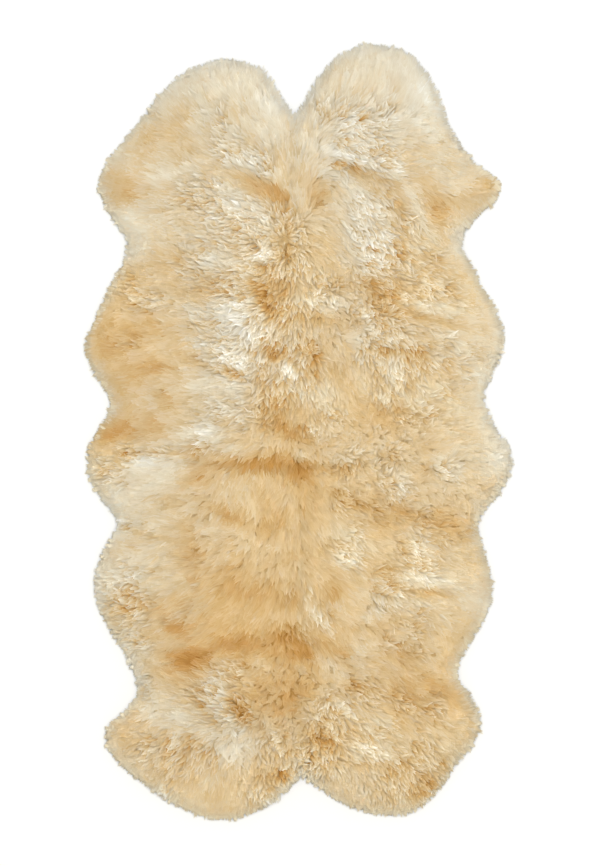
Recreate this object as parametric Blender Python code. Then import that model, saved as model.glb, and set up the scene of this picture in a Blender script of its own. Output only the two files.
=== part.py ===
"""Quad sheepskin rug: four tanned pelts sewn edge to edge, lying flat with the wool side up.

Two pelts lie side by side with their heads towards +Y, and two more point towards -Y. Each pelt is
one solid, skin and wool together: flat underneath where it lies on the floor, and above a bed of
wool that is full in the middle, sinks along the seams and rounds down to the outline.

Lengths are metres. The outline is measured from the crossing of the two seams, and at the end the
whole rug is moved so that the origin is the middle of its footprint, on the floor.
"""
import math

import bmesh
import bpy
import numpy as np
from mathutils import Vector
from mathutils.geometry import interpolate_bezier

COLLECTION = "sheepskin_rug"

# ---------------------------------------------------------------- driving dimensions
WOOL_DEPTH = 0.050        # skin and combed-out wool in the middle of a pelt
EDGE_DEPTH = 0.009        # the last tips of the fringe stand this far off the floor
EDGE_ROUND = 0.062        # the bed rounds down to the edge over this width
SEAM_GAP = 0.0003         # clear space between two pelts along their seam
SEAM_SINK = 0.013         # how far the wool sinks where two pelts are joined
SEAM_SPREAD = 0.026       # half width of that sunken strip
SWELL = 0.0035            # slow rise and fall of the wool bed
SWELL_LENGTH = (0.23, 0.31)   # its wave lengths across and along the rug
SWELL_SHIFT = 0.6         # radians by which the waves across lie off the centre seam

# The centre seam ends in a notch between two heads, and the cross seam ends in a flank.
TOP_NOTCH = (-0.007, 0.810)
BOTTOM_NOTCH = (0.006, -0.741)
LEFT_FLANK = (-0.496, -0.002)
RIGHT_FLANK = (0.506, -0.004)

# Each outline runs from its notch round the head and down the side to its flank.
# Columns: landmark, out from the centre seam, along from the cross seam.
OUTLINES = {
    "pelt_upper_left": (
        ("inner cheek", 0.041, 0.856),
        ("inner brow", 0.074, 0.912),
        ("forehead", 0.118, 0.935),
        ("crown", 0.181, 0.945),
        ("brow", 0.262, 0.916),
        ("cheek", 0.318, 0.868),
        ("neck", 0.376, 0.796),
        ("shoulder", 0.456, 0.690),
        ("foreleg", 0.471, 0.646),
        ("armpit", 0.436, 0.572),
        ("front waist", 0.399, 0.503),
        ("ribs", 0.443, 0.410),
        ("belly front", 0.490, 0.305),
        ("belly", 0.503, 0.258),
        ("belly back", 0.468, 0.190),
        ("rear waist", 0.440, 0.134),
        ("haunch", 0.466, 0.078),
        ("thigh", 0.492, 0.032),
    ),
    "pelt_upper_right": (
        ("inner cheek", 0.016, 0.845),
        ("inner brow", 0.048, 0.900),
        ("forehead", 0.096, 0.952),
        ("crown", 0.170, 0.980),
        ("brow", 0.262, 0.957),
        ("cheek", 0.324, 0.881),
        ("neck", 0.354, 0.793),
        ("shoulder", 0.412, 0.706),
        ("foreleg", 0.478, 0.642),
        ("armpit", 0.420, 0.573),
        ("front waist", 0.385, 0.519),
        ("ribs", 0.421, 0.434),
        ("belly front", 0.474, 0.336),
        ("belly", 0.486, 0.286),
        ("belly back", 0.456, 0.200),
        ("rear waist", 0.436, 0.146),
        ("haunch", 0.466, 0.074),
        ("thigh", 0.498, 0.030),
    ),
    "pelt_lower_left": (
        ("inner cheek", 0.018, 0.771),
        ("inner brow", 0.080, 0.820),
        ("crown", 0.180, 0.847),
        ("brow", 0.281, 0.818),
        ("cheek", 0.366, 0.762),
        ("neck", 0.430, 0.704),
        ("shoulder", 0.453, 0.658),
        ("foreleg", 0.443, 0.624),
        ("armpit", 0.399, 0.587),
        ("front waist", 0.377, 0.533),
        ("ribs", 0.408, 0.459),
        ("belly front", 0.458, 0.368),
        ("belly", 0.479, 0.290),
        ("belly back", 0.464, 0.228),
        ("rear waist", 0.425, 0.150),
        ("haunch", 0.462, 0.090),
        ("thigh", 0.492, 0.036),
    ),
    "pelt_lower_right": (
        ("inner cheek", 0.050, 0.773),
        ("inner brow", 0.113, 0.813),
        ("crown", 0.215, 0.838),
        ("brow", 0.288, 0.820),
        ("cheek", 0.332, 0.777),
        ("neck", 0.378, 0.710),
        ("shoulder", 0.422, 0.655),
        ("foreleg", 0.429, 0.611),
        ("armpit", 0.409, 0.562),
        ("front waist", 0.374, 0.504),
        ("ribs", 0.405, 0.427),
        ("belly front", 0.447, 0.357),
        ("belly", 0.457, 0.292),
        ("belly back", 0.436, 0.205),
        ("rear waist", 0.423, 0.148),
        ("haunch", 0.462, 0.092),
        ("thigh", 0.496, 0.044),
    ),
}

# Hollows and ridges of the wool, measured from the crossing.
# Columns: what it is, from (x, y), to (x, y), half width, height (below zero for a hollow).
FOLDS = (
    ("hollow beside the cross seam", (-0.255, -0.012), (0.040, -0.024), 0.030, -0.008),
    ("parting over the cross seam", (-0.425, 0.024), (-0.180, 0.022), 0.011, -0.012),
    ("crease over the rear waist", (-0.425, -0.154), (-0.320, -0.190), 0.014, -0.012),
    ("slanting hollow of the back", (-0.255, 0.190), (-0.105, 0.236), 0.016, -0.008),
    ("ridge left of the centre seam", (-0.085, 0.560), (-0.095, 0.300), 0.030, 0.006),
    ("hollow left of the centre seam", (-0.030, 0.480), (-0.035, 0.220), 0.022, -0.005),
    ("ridge right of the centre seam", (0.090, 0.700), (0.110, 0.360), 0.034, 0.004),
    ("hollow across the right back", (0.200, 0.262), (0.420, 0.240), 0.024, -0.006),
    ("hollow across the right flank", (0.180, -0.150), (0.330, -0.128), 0.026, -0.006),
    ("hollow of the lower back", (-0.130, -0.300), (-0.020, -0.470), 0.040, -0.006),
    ("hollow over the lower heads", (-0.300, -0.620), (0.060, -0.640), 0.030, -0.006),
)

# ---------------------------------------------------------------- mesh fineness
CENTRE_SEAM_CELLS = 22    # cells along each stretch of a pelt's edge
OUTER_CELLS = 66
CROSS_SEAM_CELLS = 16
FILL_CELLS = (31, 21)     # even grid in the middle, along and across: half the cells of the edge
RIM_INSET = 0.056         # the rows that follow the edge reach about this far in
RIM_SHARES = (0.2, 0.55, 1.0)       # where those rows lie, as shares of the inset
BLUNTING = (40, 12)       # rounds of rounding off the innermost row, before and after its inset
EVENING_PASSES = 120      # rounds of smoothing that space out the grid in the middle
SPLINE_STEPS = 12         # points between two landmarks
SHARP_ANGLE = math.radians(50)      # edges that turn more than this stay crisp

# ---------------------------------------------------------------- finish of each pelt
WOOL_ROUGHNESS = 0.95
WOOL_COLOURS = {
    "pelt_upper_left": (0.79, 0.67, 0.46, 1.0),
    "pelt_upper_right": (0.76, 0.62, 0.39, 1.0),
    "pelt_lower_left": (0.73, 0.57, 0.33, 1.0),
    "pelt_lower_right": (0.74, 0.59, 0.35, 1.0),
}


def clear_scene():
    for thing in list(bpy.data.objects):
        bpy.data.objects.remove(thing, do_unlink=True)


def smooth_line(points):
    """Points along the smooth curve that passes through all the given ones."""
    knots = [Vector((x, y, 0)) for x, y in points]
    line = [knots[0]]
    for i in range(len(knots) - 1):
        before = knots[max(i - 1, 0)]
        after = knots[min(i + 2, len(knots) - 1)]
        start, end = knots[i], knots[i + 1]
        reach = (end - start).length / 3
        leave = start + (end - before).normalized() * reach
        arrive = end - (after - start).normalized() * reach
        line += interpolate_bezier(start, leave, arrive, end, SPLINE_STEPS + 1)[1:]
    return np.array([(p.x, p.y) for p in line])


def spread(line, cells):
    """The starts of so many equal cells along a line."""
    steps = np.linalg.norm(np.diff(line, axis=0), axis=1)
    run = np.concatenate(([0.0], np.cumsum(steps)))
    at = run[-1] * np.arange(cells) / cells
    return np.stack([np.interp(at, run, line[:, k]) for k in (0, 1)], axis=1)


def pelt_lines(name):
    """A pelt's centre seam, from the crossing out, its outer edge, and its cross seam back in."""
    right = 1 if name.endswith("right") else -1
    up = 1 if "upper" in name else -1
    inset = np.array((right * SEAM_GAP / 2, up * SEAM_GAP / 2))
    crossing = inset
    notch = inset + (TOP_NOTCH if up > 0 else BOTTOM_NOTCH)
    flank = inset + (RIGHT_FLANK if right > 0 else LEFT_FLANK)
    landmarks = [(right * out, up * along) for _, out, along in OUTLINES[name]]
    outer = smooth_line([notch, *landmarks, flank])
    return np.array((crossing, notch)), outer, np.array((flank, crossing))


def blunted(ring, passes):
    """A closed line with its tips rounded off."""
    for _ in range(passes):
        ring = (np.roll(ring, 1, axis=0) + 2 * ring + np.roll(ring, -1, axis=0)) / 4
    return ring


def inner_ring(ring):
    """A closed line of as many points that lies well inside the given one, with blunt tips."""
    before, after = BLUNTING
    inner = blunted(ring, before)
    ahead = np.roll(inner, -1, axis=0) - np.roll(inner, 1, axis=0)
    inward = np.stack((-ahead[:, 1], ahead[:, 0]), axis=1)
    inward /= np.linalg.norm(inward, axis=1)[:, None]
    turn = np.roll(ring, -1, axis=0)
    if (ring[:, 0] * turn[:, 1] - ring[:, 1] * turn[:, 0]).sum() < 0:
        inward = -inward
    return blunted(inner + inward * RIM_INSET, after)


def distance_to_line(spots, line):
    """How far each spot lies from a line of points."""
    start, step = line[:-1], np.diff(line, axis=0)
    to_spot = spots[:, None, :] - start[None, :, :]
    share = np.clip((to_spot * step).sum(axis=2) / (step ** 2).sum(axis=1), 0.0, 1.0)
    return np.linalg.norm(to_spot - share[:, :, None] * step, axis=2).min(axis=1)


def wool_height(spots, outline):
    """Height of the wool bed above the floor at each spot."""
    from_edge = distance_to_line(spots, outline)
    rise = np.sqrt(1.0 - (1.0 - np.clip(from_edge / EDGE_ROUND, 0.0, 1.0)) ** 2)

    bed = np.full(len(spots), WOOL_DEPTH - EDGE_DEPTH)
    seams = ((TOP_NOTCH, (0, 0), BOTTOM_NOTCH), (LEFT_FLANK, (0, 0), RIGHT_FLANK))
    for seam in seams:
        away = distance_to_line(spots, np.array(seam))
        bed -= SEAM_SINK * np.exp(-(away / SEAM_SPREAD) ** 2)
    for _, start, end, half_width, height in FOLDS:
        away = distance_to_line(spots, np.array((start, end)))
        bed += height * np.exp(-(away / half_width) ** 2)

    across, along = (spots / np.array(SWELL_LENGTH) * 2 * math.pi).T
    hills = np.sin(across + SWELL_SHIFT) * np.cos(along)
    slanting_waves = np.sin(2 * along - across) / 2
    return EDGE_DEPTH + rise * (bed + SWELL * (hills + slanting_waves))


def wool_material(name):
    material = bpy.data.materials.new("wool_" + name.removeprefix("pelt_"))
    material.use_nodes = True
    surface = material.node_tree.nodes["Principled BSDF"]
    surface.inputs["Base Color"].default_value = WOOL_COLOURS[name]
    surface.inputs["Roughness"].default_value = WOOL_ROUGHNESS
    surface.inputs["Metallic"].default_value = 0.0
    return material


def extrude_ring(bed, edges):
    """A new ring of edges joined to the given ring by faces."""
    made = bmesh.ops.extrude_edge_only(bed, edges=edges)["geom"]
    verts = [item for item in made if isinstance(item, bmesh.types.BMVert)]
    return verts, [item for item in made if isinstance(item, bmesh.types.BMEdge)]


def start_station(edge, station):
    """Where an edge of a ring starts, counted the way round that the ring runs."""
    low, high = sorted(vert[station] for vert in edge.verts)
    return low if high - low == 1 else high


def lay_out_cells(bed, ring):
    """The pelt's top, still flat: rows of cells that follow its edge, and an even grid inside
    them. Returns the edges of the outline."""
    inside = inner_ring(ring)
    station = bed.verts.layers.int.new("station")   # a vertex's place round the edge
    circle = bmesh.ops.create_circle(bed, segments=len(ring), radius=1.0)["verts"]
    for number, vert in enumerate(circle):
        vert[station] = number
        vert.co = (*ring[number], 0.0)

    outline = rim = list(bed.edges)
    for share in RIM_SHARES:
        verts, rim = extrude_ring(bed, rim)
        for vert in verts:
            place = vert[station]
            vert.co = (*((1 - share) * ring[place] + share * inside[place]), 0.0)

    # The space inside the innermost row is filled from two facing stretches of that row.
    along, across = FILL_CELLS
    facing = [edge for edge in rim if start_station(edge, station) % (along + across) >= along]
    rows = set(bed.verts)
    bmesh.ops.grid_fill(bed, edges=facing, use_interp_simple=True)
    middle = [vert for vert in bed.verts if vert not in rows]
    for _ in range(EVENING_PASSES):
        bmesh.ops.smooth_vert(bed, verts=middle, factor=0.5, use_axis_x=True, use_axis_y=True)
    return outline


def make_pelt(name, collection):
    """One pelt: its top lifted to the height of the wool, with a wall from the edge down to the
    flat underside."""
    centre_seam, outer, cross_seam = pelt_lines(name)
    ring = np.concatenate((spread(centre_seam, CENTRE_SEAM_CELLS), spread(outer, OUTER_CELLS),
                           spread(cross_seam, CROSS_SEAM_CELLS)))
    bed = bmesh.new()
    outline = lay_out_cells(bed, ring)
    spots = np.array([(vert.co.x, vert.co.y) for vert in bed.verts])
    for vert, height in zip(bed.verts, wool_height(spots, outer)):
        vert.co.z = height

    hem_verts, hem = extrude_ring(bed, outline)
    for vert in hem_verts:
        vert.co.z = 0.0
    bmesh.ops.edgeloop_fill(bed, edges=hem)
    bmesh.ops.recalc_face_normals(bed, faces=bed.faces[:])

    mesh = bpy.data.meshes.new(name)
    bed.to_mesh(mesh)
    bed.free()
    mesh.materials.append(wool_material(name))
    mesh.shade_smooth()
    mesh.set_sharp_from_angle(angle=SHARP_ANGLE)
    pelt = bpy.data.objects.new(name, mesh)
    collection.objects.link(pelt)
    return pelt


def centre_on_floor(pelts):
    """Moves the meshes so that the middle of the rug's footprint is the origin."""
    spots = np.array([tuple(v.co) for pelt in pelts for v in pelt.data.vertices])
    middle = (spots.min(axis=0) + spots.max(axis=0)) / 2
    for pelt in pelts:
        for vertex in pelt.data.vertices:
            vertex.co.x -= middle[0]
            vertex.co.y -= middle[1]


def main():
    clear_scene()
    collection = bpy.data.collections.new(COLLECTION)
    bpy.context.scene.collection.children.link(collection)
    pelts = [make_pelt(name, collection) for name in OUTLINES]
    centre_on_floor(pelts)


main()
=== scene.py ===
# %% [markdown]
# # A rug of four sheepskins
# The rug is four tanned sheepskins sewn edge to edge, two wide and two long, with long honey-cream
# wool on top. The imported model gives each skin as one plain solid. This lesson puts real wool in
# its place: a bed of dense underwool, thousands of tapered locks that lie over each other, a
# fringe round the rim, and the hide with its furrier's seam underneath.

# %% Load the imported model
import math

import bmesh
import bpy
import numpy as np
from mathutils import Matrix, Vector
from mathutils.bvhtree import BVHTree
from mathutils.kdtree import KDTree


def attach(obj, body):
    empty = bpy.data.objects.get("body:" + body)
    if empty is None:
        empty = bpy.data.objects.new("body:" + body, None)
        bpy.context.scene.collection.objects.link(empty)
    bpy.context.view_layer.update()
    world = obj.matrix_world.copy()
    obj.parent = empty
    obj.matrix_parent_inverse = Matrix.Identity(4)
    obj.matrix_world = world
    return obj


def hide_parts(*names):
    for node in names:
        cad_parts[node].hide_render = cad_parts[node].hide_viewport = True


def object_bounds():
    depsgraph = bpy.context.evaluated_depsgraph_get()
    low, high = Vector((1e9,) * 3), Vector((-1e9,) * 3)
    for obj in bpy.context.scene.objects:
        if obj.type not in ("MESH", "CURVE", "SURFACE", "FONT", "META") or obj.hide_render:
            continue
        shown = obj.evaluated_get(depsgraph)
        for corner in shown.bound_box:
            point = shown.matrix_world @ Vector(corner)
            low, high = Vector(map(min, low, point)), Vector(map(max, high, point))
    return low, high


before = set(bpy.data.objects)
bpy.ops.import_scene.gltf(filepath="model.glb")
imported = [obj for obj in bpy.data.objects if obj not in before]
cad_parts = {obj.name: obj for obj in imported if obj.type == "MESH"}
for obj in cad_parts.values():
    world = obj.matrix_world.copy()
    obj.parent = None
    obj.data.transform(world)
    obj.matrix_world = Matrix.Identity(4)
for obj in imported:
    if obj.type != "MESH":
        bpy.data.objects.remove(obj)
cad_low, cad_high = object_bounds()
PELTS = ("upper_left", "upper_right", "lower_left", "lower_right")
print("the rug measures", [round(1000 * s) for s in cad_high - cad_low], "mm")

# %% [markdown]
# ## Reading places off the photograph
# The photograph looks straight down, so a pixel is a place on the rug. The tables below name places
# by the photograph's column and row, and this cell turns them into metres, at 2.36 mm a pixel.

# %% From pixels to metres
MIDDLE = np.array((298.5, 432.0))
PIXEL = 1.0 / 424.04


def to_metres(columns, rows):
    """The places on the rug of these columns and rows of the photograph."""
    return (np.asarray(columns) - MIDDLE[0]) * PIXEL, (MIDDLE[1] - np.asarray(rows)) * PIXEL


def to_pixels(x, y):
    """The column and row of the photograph for places on the rug."""
    return MIDDLE[0] + np.asarray(x) / PIXEL, MIDDLE[1] - np.asarray(y) / PIXEL


# %% From shapes to objects


def as_mesh(shape, name):
    """The finished mesh of a shape."""
    mesh = bpy.data.meshes.new(name)
    shape.to_mesh(mesh)
    shape.free()
    return mesh


def add_object(name, data):
    """An object for a mesh, a lamp or a camera, in the scene."""
    added = bpy.data.objects.new(name, data)
    bpy.context.scene.collection.objects.link(added)
    return added


# %% [markdown]
# ## The height of the wool as a map
# Every lock has to know how high the wool stands under each of its points. A ray for each of them
# would be slow, so rays are cast once, on a grid of 4 mm squares, and the heights between are
# blended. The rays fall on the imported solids, so the wool keeps their shape.

# %% Cast the grid of heights
CELL = 0.004
MARGIN = 0.04
grid_x = np.arange(cad_low.x - MARGIN, cad_high.x + MARGIN, CELL)
grid_y = np.arange(cad_low.y - MARGIN, cad_high.y + MARGIN, CELL)


def solid_tree():
    """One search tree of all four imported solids."""
    points, faces = [], []
    for pelt in PELTS:
        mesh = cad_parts["pelt_" + pelt].data
        first = len(points)
        points += [v.co.copy() for v in mesh.vertices]
        faces += [[first + i for i in face.vertices] for face in mesh.polygons]
    return BVHTree.FromPolygons(points, faces)


def cast_heights(tree):
    """The height of the solids over each point of the grid, 0 beside them."""
    down = Vector((0, 0, -1))
    heights = np.zeros((len(grid_y), len(grid_x)))
    for j, y in enumerate(grid_y):
        for i, x in enumerate(grid_x):
            hit = tree.ray_cast(Vector((x, y, 0.5)), down)[0]
            if hit is not None:
                heights[j, i] = hit.z
    return heights


def seams_closed(heights):
    """The heights without the slits where a ray fell between two solids."""
    wide = np.pad(heights, 1)
    level = np.minimum(wide[1:-1, :-2], wide[1:-1, 2:])
    upright = np.minimum(wide[:-2, 1:-1], wide[2:, 1:-1])
    return np.maximum(heights, np.maximum(level, upright))


solid_heights = seams_closed(cast_heights(solid_tree()))
print("the wool stands up to", round(1000 * solid_heights.max(), 1), "mm high")

# %% Read between the points of a grid


def read_grid(grid, x, y):
    """The grid's value at each x and y, blended between its four neighbours."""
    u = np.clip((np.asarray(x) - grid_x[0]) / CELL, 0, len(grid_x) - 1.001)
    v = np.clip((np.asarray(y) - grid_y[0]) / CELL, 0, len(grid_y) - 1.001)
    i, j = u.astype(int), v.astype(int)
    u, v = u - i, v - j
    low = grid[j, i] * (1 - u) + grid[j, i + 1] * u
    high = grid[j + 1, i] * (1 - u) + grid[j + 1, i + 1] * u
    return low * (1 - v) + high * v


def softened(grid, times):
    """The grid with each value averaged with its neighbours, this many times."""
    for _ in range(times):
        wide = np.pad(grid, 1, mode="edge")
        grid = (wide[:-2, 1:-1] + wide[2:, 1:-1] + wide[1:-1, :-2] + wide[1:-1, 2:]) / 8 + grid / 2
    return grid


# %% [markdown]
# ## Rim and seams
# Wool at the rim points outwards and hangs over the edge, and wool at a seam closes over it. So
# each lock needs its distance from the rim and the way out. The rim is the outline of the flat
# underside, without the stretches where two skins meet.

# %% The seams and the rim
CROSSING = (-0.0014, -0.0666)
SEAM_ENDS = {
    "top": (-0.0084, 0.7434),
    "bottom": (0.0046, -0.8076),
    "left": (-0.4974, -0.0686),
    "right": (0.5046, -0.0706),
}
RIM_SPACING = 0.002
AT_A_SEAM = 0.003
FACING_DOWN = -0.99


def distance_to_seams(x, y):
    """How far places are from the nearest seam."""
    place = np.stack([x, y], -1) - CROSSING
    nearest = np.full(place.shape[:-1], 9.0)
    for end in SEAM_ENDS.values():
        run = np.array(end) - CROSSING
        share = np.clip(place @ run / (run @ run), 0, 1)
        nearest = np.minimum(nearest, np.linalg.norm(place - share[..., None] * run, axis=-1))
    return nearest


def merged_copy(pelt):
    """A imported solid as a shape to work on, with its points merged."""
    shape = bmesh.new()
    shape.from_mesh(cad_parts["pelt_" + pelt].data)
    bmesh.ops.remove_doubles(shape, verts=shape.verts, dist=0.00001)
    shape.normal_update()
    return shape


def rim_points(pelt):
    """Points along the rim of a pelt, 2 mm apart, without its seams."""
    shape = merged_copy(pelt)
    found = []
    for edge in shape.edges:
        if sum(face.normal.z < -0.9 for face in edge.link_faces) == 1:
            a, b = (np.array(tuple(vert.co.xy)) for vert in edge.verts)
            count = max(1, int(np.linalg.norm(b - a) / RIM_SPACING))
            share = (np.arange(count) + 0.5)[:, None] / count
            found.append(a + (b - a) * share)
    shape.free()
    found = np.concatenate(found)
    return found[distance_to_seams(found[:, 0], found[:, 1]) > AT_A_SEAM]


rims = {pelt: rim_points(pelt) for pelt in PELTS}
print("points on the rim:", {pelt: len(points) for pelt, points in rims.items()})

# %% Distance from the rim and the way out, on the grid


def tree_of(places):
    """A search tree of flat places."""
    tree = KDTree(len(places))
    for number, (x, y) in enumerate(places):
        tree.insert((x, y, 0), number)
    tree.balance()
    return tree


rim_tree = tree_of(np.concatenate(list(rims.values())))
rim_distance, rim_x, rim_y = (np.zeros_like(solid_heights) for _ in range(3))
for j, y in enumerate(grid_y):
    for i, x in enumerate(grid_x):
        near, _, gap = rim_tree.find((x, y, 0))
        side = 1 if solid_heights[j, i] > 0 else -1
        rim_distance[j, i] = side * gap
        rim_x[j, i] = side * (near.x - x) / max(gap, 1e-6)
        rim_y[j, i] = side * (near.y - y) / max(gap, 1e-6)
rim_x, rim_y = softened(rim_x, 6), softened(rim_y, 6)
print("the middle of the rug is", round(1000 * rim_distance.max()), "mm from the rim")
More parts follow.
